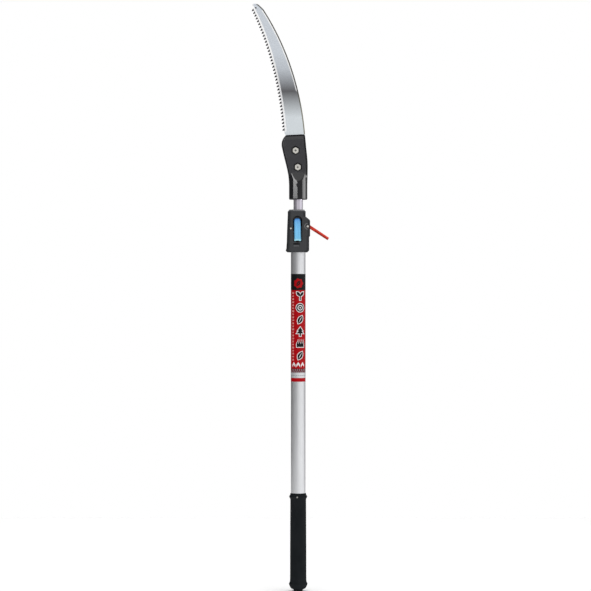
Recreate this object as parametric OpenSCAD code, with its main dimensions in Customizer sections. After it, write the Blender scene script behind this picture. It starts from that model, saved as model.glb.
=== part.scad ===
// Telescoping pole saw: a curved pull saw on an inner pole that slides out of a
// gripped outer pole, with a clamp lever and a sprung index rocker in the lock.
// Millimetres. The origin is the centre of the grip's butt end, +Z runs along the
// pole to the blade, -Y is the front with the rocker, +X is the side of the lever.

/* [Outer pole] */
// Outside diameter of the outer pole
outer_d = 28; // [27:0.5:28.5]
// Wall of the outer pole
outer_wall = 1.5; // [1.2:0.1:1.8]
// Height of the outer pole's upper end above the butt
outer_top_z = 682; // [680:1:683]

/* [Inner pole] */
// Outside diameter of the inner pole
inner_d = 18; // [17:0.5:18]
// Wall of the inner pole
inner_wall = 1.3; // [1:0.1:1.4]
// Width of the guide groove rolled into the inner pole
groove_w = 5.6; // [5.5:0.1:6]
// Depth of the guide groove
groove_depth = 1.5; // [1.3:0.1:1.6]
// Number of index holes along the groove
index_count = 7; // [3:1:7]
// Spacing of the index holes
index_pitch = 80; // [60:5:80]

/* [Grip] */
// Height of the grip's collar top above the butt
grip_top_z = 188; // [170:1:200]
// Radius of the grip above its flange
grip_r = 15.7; // [15.5:0.1:16.5]
// Radius of the flange at the butt
grip_flange_r = 17.8; // [17.4:0.1:19]
// Radius of the collar at the grip's upper end
grip_collar_r = 17.3; // [16.8:0.1:18.5]

/* [Lock] */
// Height of the lock's lower edge
lock_z = 650; // [648:1:652]
// Height of the shells
lock_h = 78.8; // [78.6:0.1:81]
// Front of the shells, measured from the pole's axis
lock_front = 21; // [20.5:0.1:22]
// Back of the shells, measured from the pole's axis
lock_back = 18; // [17.5:0.5:20]

/* [Clamp lever] */
// Length of the lever from its pivot to its tip
lever_len = 46.5; // [36:0.5:50]
// Width of the lever
lever_w = 10.6; // [8:0.2:10.8]
// Travel of the brake pad for each radian of the lever
cam_rate = 1; // [0.8:0.05:1]

/* [Rocker] */
// Width of the release rocker
rocker_w = 14; // [13:0.5:15.4]
// Diameter of the index pin
index_pin_d = 5; // [4:0.1:5]

/* [Head] */
// Radius of the head's round socket
socket_r = 17.6; // [17.4:0.1:18]
// Half of the thickness across the head's flat cheeks
cheek_y = 11; // [10.5:0.5:12]

/* [Blade] */
// Thickness of the blade
blade_t = 1.4; // [1:0.1:1.6]
// Number of teeth
tooth_count = 39; // [30:1:44]
// Depth of the gullets between the teeth
gullet_depth = 4.5; // [3:0.1:4.8]

/* [Hidden] */
$fn = 64;

// Gaps: between sliding pieces, in running bores, and round fixed fasteners
slide_gap = 0.3;
running_gap = 0.05;
fixed_gap = 0.02;
// Extra length that takes a cut clear of a face
over = 1;

outer_r = outer_d / 2;
bore_r = outer_r - outer_wall;
inner_r = inner_d / 2;
inner_bore_r = inner_r - inner_wall;
groove_floor_y = -(inner_r - groove_depth);
groove_inner_y = groove_floor_y + inner_wall;

// Stations along the pole
plug_z = 9;
plug_top_z = 44.7;
tail_z = plug_top_z + slide_gap;
tail_flange_h = 13;
inner_z = tail_z + tail_flange_h;
inner_top_z = 792;
tail_spigot_h = 22;
tail_rivet_z = inner_z + 10;
tail_rivet_r = 2;
label_z = 402;
label_h = 206.4;
label_t = 0.15;
grip_screw_x = -1.9;
grip_screw_z = 181;

// Lock
lock_top_z = lock_z + lock_h;
lock_edge_r = 7;
upper_x1 = 14.3;
ear_x1 = 22.8;
lower_x1 = 21;
ear_step_z = 681.6;
ear_corner_r = 4;
ear_corner_z = 709.4;
shoulder_r = 5;
shoulder_z = 720.7;
shoulder_turn = 50;
lock_left_x = -23.8;
chamber_r = 11;
chamber_top_z = 714;
bush_z = chamber_top_z + slide_gap;
bush_r = 12;
bush_flange_r = 13.4;
bush_flange_z = 719;
bush_flange_h = 3;
bush_cap_r = 15.4;
bush_cap_x = -2.8;
bush_cap_h = 3;
bush_rib_w = 4.8;
bush_rib_gap = 0.4;

// Release rocker, its slot, pin and spring
slot_x0 = -9.9;
slot_x1 = 7.1;
slot_z0 = 670;
slot_top_z = 718.8;
slot_floor_y = -14.7;
rocker_x = (slot_x0 + slot_x1) / 2;
rocker_z0 = 671.1;
rocker_z1 = 715.6;
rocker_pivot_y = -17;
rocker_pivot_z = 696;
rocker_pin_r = 1.5;
rocker_pin_reach = 2;
index_pin_r = index_pin_d / 2;
index_pin_z = 710;
index_pin_root_y = -17;
arch_r = 3.2;
arch_depth = 4.6;
scoop_half = 5.5;
scoop_depth = 2.8;
scoop_x = -3.4;
scoop_z0 = 660.5;
scoop_z1 = 666.7;
spring_z = 687;
spring_seat_y = -11.6;
spring_end_y = -16.9;
spring_r = 2.4;
spring_wire_r = 0.35;
spring_turns = 4;
spring_steps = 12;
spring_sides = 6;
seat_web_t = 1.6;
seat_web_h = 7;

// Clamp lever, cam and pad
lever_x = 18;
lever_z = 699.3;
lever_angle = -33.1;
lever_pin_r = 2.25;
lever_hub_r = 4.3;
lever_offset = 1.9;
lever_root_t = 6.2;
lever_tip_t = 5.4;
lever_slot_w = 11.2;
cam_r = 5;
cam_from = 135;
cam_to = 246;
cam_step = 3;
lever_boss_r = 6.1;
pad_gap = 0.05;
pad_side_gap = 0.2;
pad_rest_gap = 1.08;
pad_w = lever_slot_w - 2 * pad_side_gap;
pad_h = 15.4;
pad_x1 = lever_x - cam_r - pad_gap;
lever_slot_top_z = 706.6;
lever_slot_x = 11.6;
lever_pin_front_y = -20.6;

// Shell screw
shell_screw_x = -14.1;
shell_screw_z = 695.4;
shell_screw_r = 1.5;
shell_head_r = 2.1;
shell_head_h = 1.6;
shell_head_recess = 0.6;
shell_head_y = -lock_front + shell_head_recess;
shell_nut_af = 5.5;
shell_nut_h = 2.4;
lever_nut_af = 7;
lever_nut_h = 3.2;

// Head
head_z = 751;
head_top_z = 876.5;
head_bulge_x = -8.8;
head_bulge_z = 856.5;
head_bulge_r = 23.1;
ramp_top_z = 803;
ramp_low_z = 785;
blade_slot_gap = 0.1;
bolt_x = [-5, -0.8];
bolt_z = [845, 813];
bolt_r = 3;
bolt_head_r = 6.6;
bolt_head_h = 3.2;
bolt_pocket_r = 8.7;
bolt_pocket_y = 6.6;
bolt_nut_r = 5.77;
bolt_nut_h = 2.8;
washer_r = 6.2;
washer_t = 1;
head_screw_z = 778.5;
head_screw_x = 0;
head_screw_r = 2;
head_screw_head_r = 3.4;
head_screw_head_h = 2.2;
head_nut_af = 7;
head_nut_h = 2.6;
head_screw_seat = 14.8;
inner_socket_top_z = inner_top_z + 0.5;

// Blade: spine and tooth line as cubic curves from the tip to the heel
spine = [[-66.6, 1116.4], [-20.4, 1044.9], [6.3, 961.1], [13.2, 876.6]];
teeth = [[-90.6, 1116.4], [-57.4, 1050], [-36.3, 966], [-30.2, 882]];
tip_top = [[-74.3, 1123.9], [-77.6, 1126.2], [-80.9, 1127.3], [-84, 1127.3], [-86.8, 1126.6]];
beak = [[-88.6, 1125.1], [-86, 1121.8], [-83.4, 1119.4]];
tang_end = [[12, 868], [8.2, 803], [5.2, 799.2], [0, 797.4], [-7, 799.6], [-10.5, 804.5], [-21.2, 866]];
heel = [[-22.6, 872.4], [-25.2, 876.6], [-26.6, 880]];
spine_steps = 24;
// Along one pitch, from the tip's side: the tooth's root on the handle's side, its tip, back and far root
tooth_share = [0.8, 0.76, 0.5, 0.04];

// Colours
steel = [0.78, 0.8, 0.82];
bright = [0.86, 0.87, 0.88];
alloy = [0.8, 0.81, 0.83];
gloss_black = [0.06, 0.06, 0.07];
charcoal = [0.22, 0.23, 0.24];
rubber_black = [0.12, 0.13, 0.14];
lever_red = [0.82, 0.2, 0.16];
rocker_blue = [0.4, 0.72, 0.95];
label_red = [0.68, 0.02, 0.03];
nylon = [0.3, 0.31, 0.32];

// Point on a cubic curve with control points c at t from 0 to 1
function cubic(c, t) = c[0] * pow(1 - t, 3) + c[1] * 3 * t * pow(1 - t, 2)
    + c[2] * 3 * t * t * (1 - t) + c[3] * pow(t, 3);
// Unit direction of that curve
function heading(c, t) =
    let(d = cubic(c, min(1, t + 0.001)) - cubic(c, max(0, t - 0.001))) d / norm(d);
// Points of an arc round a centre, from angle a0 to a1
function arc(cx, cy, r, a0, a1, n) =
    [for (i = [0:n]) let(a = a0 + (a1 - a0) * i / n) [cx + r * cos(a), cy + r * sin(a)]];
// Circumscribed radius of a hexagon from its width across flats
function hex_r(af) = af / 2 / cos(30);

// A profile given in X and Z, made y0 to y1 deep
module along_y(y0, y1) {
    translate([0, y1, 0]) rotate([90, 0, 0]) linear_extrude(y1 - y0) children();
}

// A profile given in Y and Z, made x0 to x1 wide
module along_x(x0, x1) {
    translate([x0, 0, 0]) rotate([90, 0, 90]) linear_extrude(x1 - x0) children();
}

// A round rod of radius r along Y at x, z
module rod_y(x, z, y0, y1, r) {
    translate([x, y1, z]) rotate([90, 0, 0]) cylinder(h = y1 - y0, r = r);
}

// A hexagonal rod along Y with its corners up and down
module hex_y(x, z, y0, y1, r) {
    translate([x, y1, z]) rotate([90, 0, 0]) rotate([0, 0, 90]) cylinder(h = y1 - y0, r = r, $fn = 6);
}

// A plan rectangle with round corners
module round_plan(x0, x1, y0, y1, r) {
    translate([x0 + r, y0]) square([x1 - x0 - 2 * r, y1 - y0]);
    translate([x0, y0 + r]) square([x1 - x0, y1 - y0 - 2 * r]);
    for (x = [x0 + r, x1 - r], y = [y0 + r, y1 - r]) translate([x, y]) circle(r = r);
}

// ---- Blade and head ----

// One tooth's points: it leans towards the handle, so that the saw cuts on the pull
function tooth(i) = let(
    t0 = 1 - (i + 1) / tooth_count,
    span = 1 / tooth_count,
    along = heading(teeth, t0 + span / 2),
    inward = [-along[1], along[0]] * gullet_depth)
    [cubic(teeth, t0 + tooth_share[1] * span), cubic(teeth, t0 + tooth_share[2] * span) + inward * 0.05,
     cubic(teeth, t0 + tooth_share[3] * span) + inward];

function tooth_root(i) = let(
    t0 = 1 - (i + 1) / tooth_count,
    span = 1 / tooth_count,
    along = heading(teeth, t0 + span / 2),
    inward = [-along[1], along[0]] * gullet_depth)
    cubic(teeth, t0 + tooth_share[0] * span) + inward;

module blade_outline() {
    polygon(concat(
        [for (i = [0:spine_steps]) cubic(spine, i / spine_steps)],
        tang_end, heel,
        [for (i = [0:tooth_count - 1]) each concat([tooth_root(i)], tooth(i))],
        [for (i = [len(beak) - 1:-1:0]) beak[i]],
        [for (i = [len(tip_top) - 1:-1:0]) tip_top[i]]));
}

module blade() {
    color(steel) difference() {
        along_y(-blade_t / 2, blade_t / 2) blade_outline();
        for (i = [0, 1]) rod_y(bolt_x[i], bolt_z[i], -over, over, bolt_r + 0.15);
    }
}

// Front view of the head's upper part
module head_outline() {
    polygon(concat(
        [[-socket_r, ramp_low_z - 6], [-18.1, 790], [-19.1, 798.5], [-21, 808.3], [-23.7, 819.8]],
        [[-26.7, 831.4], [-29.4, 842.9]],
        arc(head_bulge_x, head_bulge_z, head_bulge_r, 190, 131, 8),
        [[-22.4, 874.7]],
        arc(9.2, 872.4, 4.1, 82, 8, 5),
        [[14.4, 862], [15.5, 850], [16.9, 837], [17.9, 826], [18.3, 815], [18, 799]],
        [[socket_r, ramp_low_z - 6]]));
}

// Cut that takes the socket's round down to the flat cheeks, on the front
module cheek_cut() {
    along_x(-40, 40) polygon([[-cheek_y, head_top_z + over], [-cheek_y, ramp_top_z],
        [-socket_r - 0.1, ramp_low_z], [-socket_r - 5, ramp_low_z], [-socket_r - 5, head_top_z + over]]);
}

module head_body() {
    color(gloss_black) difference() {
        union() {
            translate([0, 0, head_z]) cylinder(h = 1.5, r1 = socket_r - 1.2, r2 = socket_r);
            translate([0, 0, head_z + 1.5]) cylinder(h = ramp_top_z + 12 - head_z, r = socket_r);
            along_y(-cheek_y, cheek_y) head_outline();
        }
        cheek_cut();
        mirror([0, 1, 0]) cheek_cut();
        // Bore for the inner pole
        translate([0, 0, head_z - over])
            cylinder(h = inner_socket_top_z - head_z + over, r = inner_r + fixed_gap);
        // Pocket for the blade's tang, open at the top
        along_y(-blade_t / 2 - blade_slot_gap, blade_t / 2 + blade_slot_gap)
            polygon([[-27, 880], [-24.6, 874.6], [-21.8, 866], [-11.2, 804], [-7.2, 799], [0, 796.8],
                [5.6, 798.6], [8.8, 803], [12.5, 868], [13.8, 877], [13.8, 880]]);
        for (i = [0, 1]) {
            rod_y(bolt_x[i], bolt_z[i], -cheek_y - over, cheek_y + over, bolt_r + fixed_gap);
            hex_y(bolt_x[i], bolt_z[i], -cheek_y - over, -bolt_pocket_y, bolt_pocket_r);
            hex_y(bolt_x[i], bolt_z[i], bolt_pocket_y, cheek_y + over, bolt_pocket_r);
        }
        rod_y(head_screw_x, head_screw_z, -socket_r - over, socket_r + over, head_screw_r + fixed_gap);
        rod_y(head_screw_x, head_screw_z, -socket_r - over, -head_screw_seat, head_screw_head_r + 0.3);
        hex_y(head_screw_x, head_screw_z, head_screw_seat, socket_r + over, hex_r(head_nut_af + 0.4));
    }
}

module blade_bolts() {
    color(bright) for (i = [0, 1]) difference() {
        union() {
            hex_y(bolt_x[i], bolt_z[i], -bolt_pocket_y - bolt_head_h, -bolt_pocket_y, bolt_head_r);
            rod_y(bolt_x[i], bolt_z[i], -bolt_pocket_y - over, cheek_y - 0.4, bolt_r);
        }
        // Crossed drive recess
        for (turn = [0, 90]) translate([bolt_x[i], -bolt_pocket_y - bolt_head_h, bolt_z[i]])
            rotate([0, turn, 0]) cube([4.6, 3, 1.2], center = true);
    }
}

module blade_washers() {
    color(bright) for (i = [0, 1]) difference() {
        rod_y(bolt_x[i], bolt_z[i], bolt_pocket_y, bolt_pocket_y + washer_t, washer_r);
        rod_y(bolt_x[i], bolt_z[i], 0, cheek_y + over, bolt_r + fixed_gap);
    }
}

module blade_nuts() {
    nut_y = bolt_pocket_y + washer_t;
    color(bright) for (i = [0, 1]) difference() {
        hex_y(bolt_x[i], bolt_z[i], nut_y, nut_y + bolt_nut_h, bolt_nut_r);
        rod_y(bolt_x[i], bolt_z[i], bolt_pocket_y, cheek_y + over, bolt_r + fixed_gap);
    }
}

module head_screw() {
    face_y = -head_screw_seat - head_screw_head_h;
    color(charcoal) difference() {
        union() {
            rod_y(head_screw_x, head_screw_z, face_y, -head_screw_seat, head_screw_head_r);
            rod_y(head_screw_x, head_screw_z, face_y + over, head_screw_seat + head_nut_h, head_screw_r);
        }
        for (turn = [0, 90]) translate([head_screw_x, face_y, head_screw_z])
            rotate([0, turn, 0]) cube([3.6, 2, 0.9], center = true);
    }
}

module head_screw_nut() {
    head_nut_y1 = head_screw_seat + head_nut_h - 0.2;
    color(charcoal) difference() {
        hex_y(head_screw_x, head_screw_z, head_screw_seat, head_nut_y1, hex_r(head_nut_af));
        rod_y(head_screw_x, head_screw_z, 0, head_nut_y1 + over, head_screw_r + fixed_gap);
    }
}

// ---- Poles ----

module inner_pole() {
    color(alloy) difference() {
        translate([0, 0, inner_z]) linear_extrude(inner_top_z - inner_z) difference() {
            circle(r = inner_r);
            // Groove on the outside
            translate([-groove_w / 2, -inner_r - over]) square([groove_w, groove_depth + over]);
            // Hollow, with the groove's bulge left standing inside
            difference() {
                circle(r = inner_bore_r);
                translate([-groove_w / 2 - inner_wall, -inner_r])
                    square([groove_w + 2 * inner_wall, groove_inner_y + inner_r]);
            }
        }
        for (i = [1:index_count])
            rod_y(0, index_pin_z - i * index_pitch, -inner_r - over, 0, index_pin_r + 0.2);
        rod_y(head_screw_x, head_screw_z, -inner_r - over, inner_r + over, head_screw_r + fixed_gap);
        translate([-inner_r - over, 0, tail_rivet_z]) rotate([0, 90, 0])
            cylinder(h = inner_d + 2 * over, r = tail_rivet_r + fixed_gap);
    }
}

module tail_bush() {
    color(nylon) difference() {
        union() {
            translate([0, 0, tail_z]) cylinder(h = 1, r1 = bore_r - slide_gap - 0.8, r2 = bore_r - slide_gap);
            translate([0, 0, tail_z + 1]) cylinder(h = tail_flange_h - 1, r = bore_r - slide_gap);
            translate([0, 0, tail_z + over])
                cylinder(h = tail_flange_h - over + tail_spigot_h, r = inner_bore_r - 0.1);
        }
        // Flat that clears the groove's bulge
        translate([-inner_r, -inner_r - over, inner_z])
            cube([inner_d, inner_r + over + groove_inner_y + 0.1, tail_spigot_h + over]);
        translate([-inner_r - over, 0, tail_rivet_z]) rotate([0, 90, 0])
            cylinder(h = inner_d + 2 * over, r = tail_rivet_r + fixed_gap);
    }
}

module tail_rivet() {
    color(bright) translate([-inner_r + 0.2, 0, tail_rivet_z]) rotate([0, 90, 0])
        cylinder(h = inner_d - 0.4, r = tail_rivet_r);
}

module outer_pole() {
    color(alloy) difference() {
        translate([0, 0, plug_z]) cylinder(h = outer_top_z - plug_z, r = outer_r);
        translate([0, 0, plug_z - over]) cylinder(h = outer_top_z - plug_z + 2 * over, r = bore_r);
        rod_y(grip_screw_x, grip_screw_z, -outer_r - over, 0, 1.35);
    }
}

module tube_end_plug() {
    color(nylon) difference() {
        translate([0, 0, plug_z]) cylinder(h = plug_top_z - plug_z, r = bore_r - fixed_gap);
        translate([0, 0, plug_z - over]) cylinder(h = plug_top_z - plug_z - 4, r = bore_r - 3);
    }
}

// ---- Lock ----

// Front view of the lock
module lock_outline() {
    polygon(concat(
        [[-20.4, lock_z], [17.4, lock_z], [lower_x1, lock_z + 3.6], [lower_x1, ear_step_z - 2]],
        [[ear_x1, ear_step_z]],
        arc(ear_x1 - ear_corner_r, ear_corner_z, ear_corner_r, 0, shoulder_turn, 6),
        arc(upper_x1 + shoulder_r, shoulder_z, shoulder_r, 180 + shoulder_turn, 180, 6),
        [[upper_x1, lock_top_z - 1], [upper_x1 - 1, lock_top_z], [-19.2, lock_top_z], [-20, lock_top_z - 1],
         [-20.2, lock_z + 70], [-21.4, lock_z + 41], [-22, lock_z + 20], [-22.8, lock_z + 6.6],
         [lock_left_x, lock_z + 4], [lock_left_x, lock_z + 2.6]]));
}

// The lock's outside: its front view cut to a round-cornered plan
module lock_outside() {
    intersection() {
        along_y(-lock_front, lock_back) lock_outline();
        union() {
            translate([0, 0, lock_z - over]) linear_extrude(lock_h + 2 * over)
                round_plan(lock_left_x, upper_x1, -lock_front, lock_back, lock_edge_r);
            translate([0, 0, lock_z - over]) linear_extrude(shoulder_z - lock_z - 2)
                round_plan(-5, ear_x1, -lock_front, lock_back, lock_edge_r);
        }
    }
}

// Front view of the rocker's slot: a round top and square feet
module slot_outline(grow) {
    r = (slot_x1 - slot_x0) / 2 + grow;
    translate([rocker_x, slot_top_z + grow - r]) circle(r = r);
    translate([rocker_x - r, slot_z0 - grow]) square([2 * r, slot_top_z + 2 * grow - r - slot_z0]);
}

// Everything inside the lock that is hollow
module lock_hollow() {
    translate([0, 0, lock_z - over]) cylinder(h = outer_top_z - lock_z + over, r = outer_r + fixed_gap);
    translate([0, 0, outer_top_z - 0.01]) cylinder(h = chamber_top_z - outer_top_z + 0.01, r = chamber_r);
    translate([0, 0, chamber_top_z - 0.01]) cylinder(h = lock_top_z - chamber_top_z + over, r = bush_r);
    translate([0, 0, bush_flange_z]) cylinder(h = bush_flange_h, r = bush_flange_r);
    // Rocker slot: shallow over the outer pole and over the bush, open to the chamber between
    along_y(-lock_front - over, slot_floor_y) slot_outline(0);
    intersection() {
        along_y(-lock_front - over, -2) slot_outline(0);
        translate([-20, -30, outer_top_z]) cube([40, 30, chamber_top_z - outer_top_z]);
    }
    // Arch for a fingertip under the rocker, and the sloped scoop below it
    rod_y(rocker_x, slot_z0 + 1, -lock_front - over, -lock_front + arch_depth, arch_r);
    along_x(scoop_x - scoop_half, scoop_x + scoop_half)
        polygon([[-lock_front - over, scoop_z0], [-lock_front + scoop_depth, scoop_z1],
            [-lock_front - over, scoop_z1]]);
    // Slot for the clamp lever, and the pad's guide
    translate([lever_slot_x, -lever_slot_w / 2, lock_z - over])
        cube([20, lever_slot_w, lever_slot_top_z - lock_z + over]);
    translate([0, -lever_slot_w / 2, lever_z - pad_h / 2 - pad_side_gap])
        cube([lever_slot_x + 2 * over, lever_slot_w, pad_h + 2 * pad_side_gap]);
    // Holes for the pins and screws
    translate([slot_x0 - rocker_pin_reach, rocker_pivot_y, rocker_pivot_z]) rotate([0, 90, 0])
        cylinder(h = slot_x1 - slot_x0 + 2 * rocker_pin_reach, r = rocker_pin_r + fixed_gap);
    rod_y(lever_x, lever_z, -lock_front - over, lock_back + over, lever_pin_r + fixed_gap);
    hex_y(lever_x, lever_z, lock_back - lever_nut_h, lock_back + over, hex_r(lever_nut_af + 0.3));
    rod_y(shell_screw_x, shell_screw_z, -lock_front - over, lock_back + over, shell_screw_r + fixed_gap);
    rod_y(shell_screw_x, shell_screw_z, -lock_front - over, shell_head_y + shell_head_h, shell_head_r + 0.3);
    hex_y(shell_screw_x, shell_screw_z, lock_back - shell_nut_h, lock_back + over, hex_r(shell_nut_af + 0.3));
}

// Shallow ring pressed round the lever's pin, kept within the ear
module pivot_ring() {
    difference() {
        rod_y(lever_x, lever_z, -lock_front - over, -lock_front + 0.5, lever_boss_r);
        rod_y(lever_x, lever_z, -lock_front - 2 * over, -lock_front + over, lever_boss_r - 1.1);
    }
}

module lock_front_shell() {
    color(charcoal) {
        difference() {
            intersection() {
                lock_outside();
                translate([-40, -40, lock_z - over]) cube([80, 40, lock_h + 2 * over]);
            }
            lock_hollow();
            pivot_ring();
        }
        // Seat for the rocker's spring, between the slot's side walls
        translate([slot_x0 - 0.5, spring_seat_y, spring_z - seat_web_h / 2])
            cube([slot_x1 - slot_x0 + 1, seat_web_t, seat_web_h]);
    }
}

module lock_back_shell() {
    color(charcoal) difference() {
        intersection() {
            lock_outside();
            translate([-40, 0, lock_z - over]) cube([80, 40, lock_h + 2 * over]);
        }
        lock_hollow();
    }
}

module guide_bush() {
    color(nylon) {
        difference() {
            union() {
                translate([0, 0, bush_z]) cylinder(h = lock_top_z - bush_z, r = bush_r - fixed_gap);
                translate([0, 0, bush_flange_z + 0.1])
                    cylinder(h = bush_flange_h - 0.2, r = bush_flange_r - 0.1);
                translate([bush_cap_x, 0, lock_top_z]) cylinder(h = bush_cap_h - 0.8, r = bush_cap_r);
                translate([bush_cap_x, 0, lock_top_z + bush_cap_h - 0.8])
                    cylinder(h = 0.8, r1 = bush_cap_r, r2 = bush_cap_r - 0.8);
            }
            translate([0, 0, chamber_top_z - over])
                cylinder(h = lock_top_z + bush_cap_h - chamber_top_z + 2 * over, r = inner_r + 0.08);
        }
        // Rib that keeps the inner pole from turning
        translate([-bush_rib_w / 2, -inner_r - bush_rib_gap, bush_z])
            cube([bush_rib_w, inner_r + groove_floor_y, lock_top_z + bush_cap_h - bush_z]);
    }
}

module shell_screw() {
    color(bright) difference() {
        union() {
            rod_y(shell_screw_x, shell_screw_z, shell_head_y, shell_head_y + shell_head_h, shell_head_r);
            rod_y(shell_screw_x, shell_screw_z, shell_head_y + over, lock_back - 0.5, shell_screw_r);
        }
        for (turn = [0, 90]) translate([shell_screw_x, shell_head_y, shell_screw_z])
            rotate([0, turn, 0]) cube([2.4, 1.4, 0.6], center = true);
    }
}

module shell_nut() {
    color(bright) difference() {
        hex_y(shell_screw_x, shell_screw_z, lock_back - shell_nut_h, lock_back - 0.3, hex_r(shell_nut_af));
        rod_y(shell_screw_x, shell_screw_z, 0, lock_back + over, shell_screw_r + fixed_gap);
    }
}

module lever_pin() {
    color(bright) {
        rod_y(lever_x, lever_z, lever_pin_front_y, lock_back - 0.5, lever_pin_r);
    }
}

module lever_pin_nut() {
    color(bright) difference() {
        hex_y(lever_x, lever_z, lock_back - lever_nut_h, lock_back - 0.3, hex_r(lever_nut_af));
        rod_y(lever_x, lever_z, 0, lock_back + over, lever_pin_r + fixed_gap);
    }
}

// Cam outline round the pivot: its reach grows evenly with angle, so the flat pad
// moves by the same amount for each degree of the lever
function cam_reach(a) = cam_r + cam_rate * (a - 180) * PI / 180;
function cam_point(a) = cam_reach(a) * [cos(a), sin(a)] + cam_rate * [-sin(a), cos(a)];

// The cam, closed by a chord behind the pivot
module cam_outline() {
    polygon(concat([for (a = [cam_from:cam_step:cam_to]) cam_point(a)], [[1.4, -1], [0.6, 1.6]]));
}

// Arm of the lever along X, with its root inside the hub
module arm_outline() {
    polygon([[-1.2, lever_offset - lever_root_t / 2], [-1.2, 3.4], [3, lever_offset + lever_root_t / 2],
        [lever_len - 0.6, lever_offset + lever_tip_t / 2],
        [lever_len, lever_offset + lever_tip_t / 2 - 0.6],
        [lever_len, lever_offset - lever_tip_t / 2 + 0.6],
        [lever_len - 0.6, lever_offset - lever_tip_t / 2]]);
}

module clamp_lever() {
    color(lever_red) difference() {
        union() {
            rod_y(lever_x, lever_z, -lever_w / 2, lever_w / 2, lever_hub_r);
            translate([lever_x, 0, lever_z]) along_y(-lever_w / 2, lever_w / 2) cam_outline();
            translate([lever_x, 0, lever_z]) along_y(-lever_w / 2, lever_w / 2)
                rotate(lever_angle) arm_outline();
        }
        rod_y(lever_x, lever_z, -lever_w, lever_w, lever_pin_r + running_gap);
        // Long recess in the lower half of both sides
        for (side = [-1, 1]) translate([lever_x, side * lever_w / 2, lever_z]) rotate([0, -lever_angle, 0])
            translate([16, -1.4, -0.3]) cube([lever_len - 18.5, 2.8, 2.2]);
    }
}

module brake_pad() {
    color(nylon) difference() {
        translate([inner_r - 2, -pad_w / 2, lever_z - pad_h / 2]) cube([pad_x1 - inner_r + 2, pad_w, pad_h]);
        translate([0, 0, lever_z - pad_h]) cylinder(h = 2 * pad_h, r = inner_r + pad_rest_gap);
    }
}

// ---- Release rocker ----

// Side view of the rocker in Y and Z
module rocker_side() {
    polygon([[-16.9, rocker_z1], [-18.6, 713], [-19.7, 708], [-20.4, 701], [-20.7, 694], [-20.5, 686],
        [-20.6, 680], [-21.3, 676.5], [-22.6, 673.4], [-22.6, rocker_z0 + 0.6], [-21.8, rocker_z0],
        [-18.2, rocker_z0], [-17.6, 676], [-17.1, 682], [-16.9, 690], [-13.9, 693], [-13.6, 699],
        [-14.2, 706], [-15.2, 712], [-15.6, rocker_z1 - 1]]);
}

// Front view of the rocker: a round top and a foot with a hollow edge
module rocker_front() {
    r = rocker_w / 2;
    difference() {
        union() {
            translate([rocker_x, rocker_z1 - r]) circle(r = r);
            translate([rocker_x - r, rocker_z0]) square([rocker_w, rocker_z1 - rocker_z0 - r]);
        }
        translate([rocker_x, rocker_z0 - 9.6]) circle(r = 10.8);
    }
}

module release_rocker() {
    color(rocker_blue) difference() {
        intersection() {
            along_x(rocker_x - rocker_w, rocker_x + rocker_w) rocker_side();
            along_y(-30, -10) rocker_front();
        }
        translate([rocker_x - rocker_w, rocker_pivot_y, rocker_pivot_z]) rotate([0, 90, 0])
            cylinder(h = 2 * rocker_w, r = rocker_pin_r + running_gap);
        rod_y(0, index_pin_z, index_pin_root_y, -10, index_pin_r + fixed_gap);
    }
}

module rocker_pin() {
    color(bright) translate([slot_x0 - rocker_pin_reach + 0.1, rocker_pivot_y, rocker_pivot_z])
        rotate([0, 90, 0])
            cylinder(h = slot_x1 - slot_x0 + 2 * rocker_pin_reach - 0.2, r = rocker_pin_r);
}

module index_pin() {
    color(bright) rod_y(0, index_pin_z, index_pin_root_y, groove_floor_y - slide_gap, index_pin_r);
}

// A ring of the spring's wire, step number i along it
function spring_ring(i) = let(
    n = spring_turns * spring_steps,
    a = 360 * i / spring_steps,
    reach = spring_seat_y - spring_end_y - 2 * spring_wire_r - 0.1,
    y = spring_seat_y - spring_wire_r - 0.05 - reach * i / n)
    [for (k = [0:spring_sides - 1]) let(b = 360 * k / spring_sides, r = spring_r + spring_wire_r * cos(b))
        [rocker_x + r * cos(a), y - spring_wire_r * sin(b), spring_z + r * sin(a)]];

module rocker_spring() {
    rings = spring_turns * spring_steps + 1;
    points = [for (i = [0:rings - 1]) each spring_ring(i)];
    sides = [for (i = [0:rings - 2], k = [0:spring_sides - 1]) let(m = (k + 1) % spring_sides)
        each [[i * spring_sides + k, i * spring_sides + m, (i + 1) * spring_sides + k],
            [i * spring_sides + m, (i + 1) * spring_sides + m, (i + 1) * spring_sides + k]]];
    ends = [[for (k = [spring_sides - 1:-1:0]) k],
        [for (k = [0:spring_sides - 1]) (rings - 1) * spring_sides + k]];
    color(bright) polyhedron(points, concat(sides, ends));
}

// ---- Label and grip ----

module label_sleeve() {
    color(label_red) translate([0, 0, label_z]) difference() {
        cylinder(h = label_h, r = outer_r + label_t);
        translate([0, 0, -over]) cylinder(h = label_h + 2 * over, r = outer_r);
    }
}

// Half of the grip's outline, from the butt to the collar
module grip_outline() {
    polygon([[0, 0], [7.9, 0], [8.8, 0.9], [8.9, 2.8], [10.4, 3.6], [13.3, 4.8], [14.6, 6.2], [15.7, 8.2],
        [16.4, 9.9], [17.2, 11.7], [grip_flange_r, 13], [grip_flange_r, 14.4], [17.2, 15.8], [16.3, 17.5],
        [grip_r, 19.4], [grip_r, 80], [15.1, grip_top_z - 13], [15.4, grip_top_z - 10.8],
        [16.7, grip_top_z - 8.5], [grip_collar_r, grip_top_z - 7.1], [grip_collar_r, grip_top_z - 6.1],
        [16.4, grip_top_z - 4.6], [15.4, grip_top_z - 3], [14.9, grip_top_z - 0.8],
        [14.5, grip_top_z], [0, grip_top_z]]);
}

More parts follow.
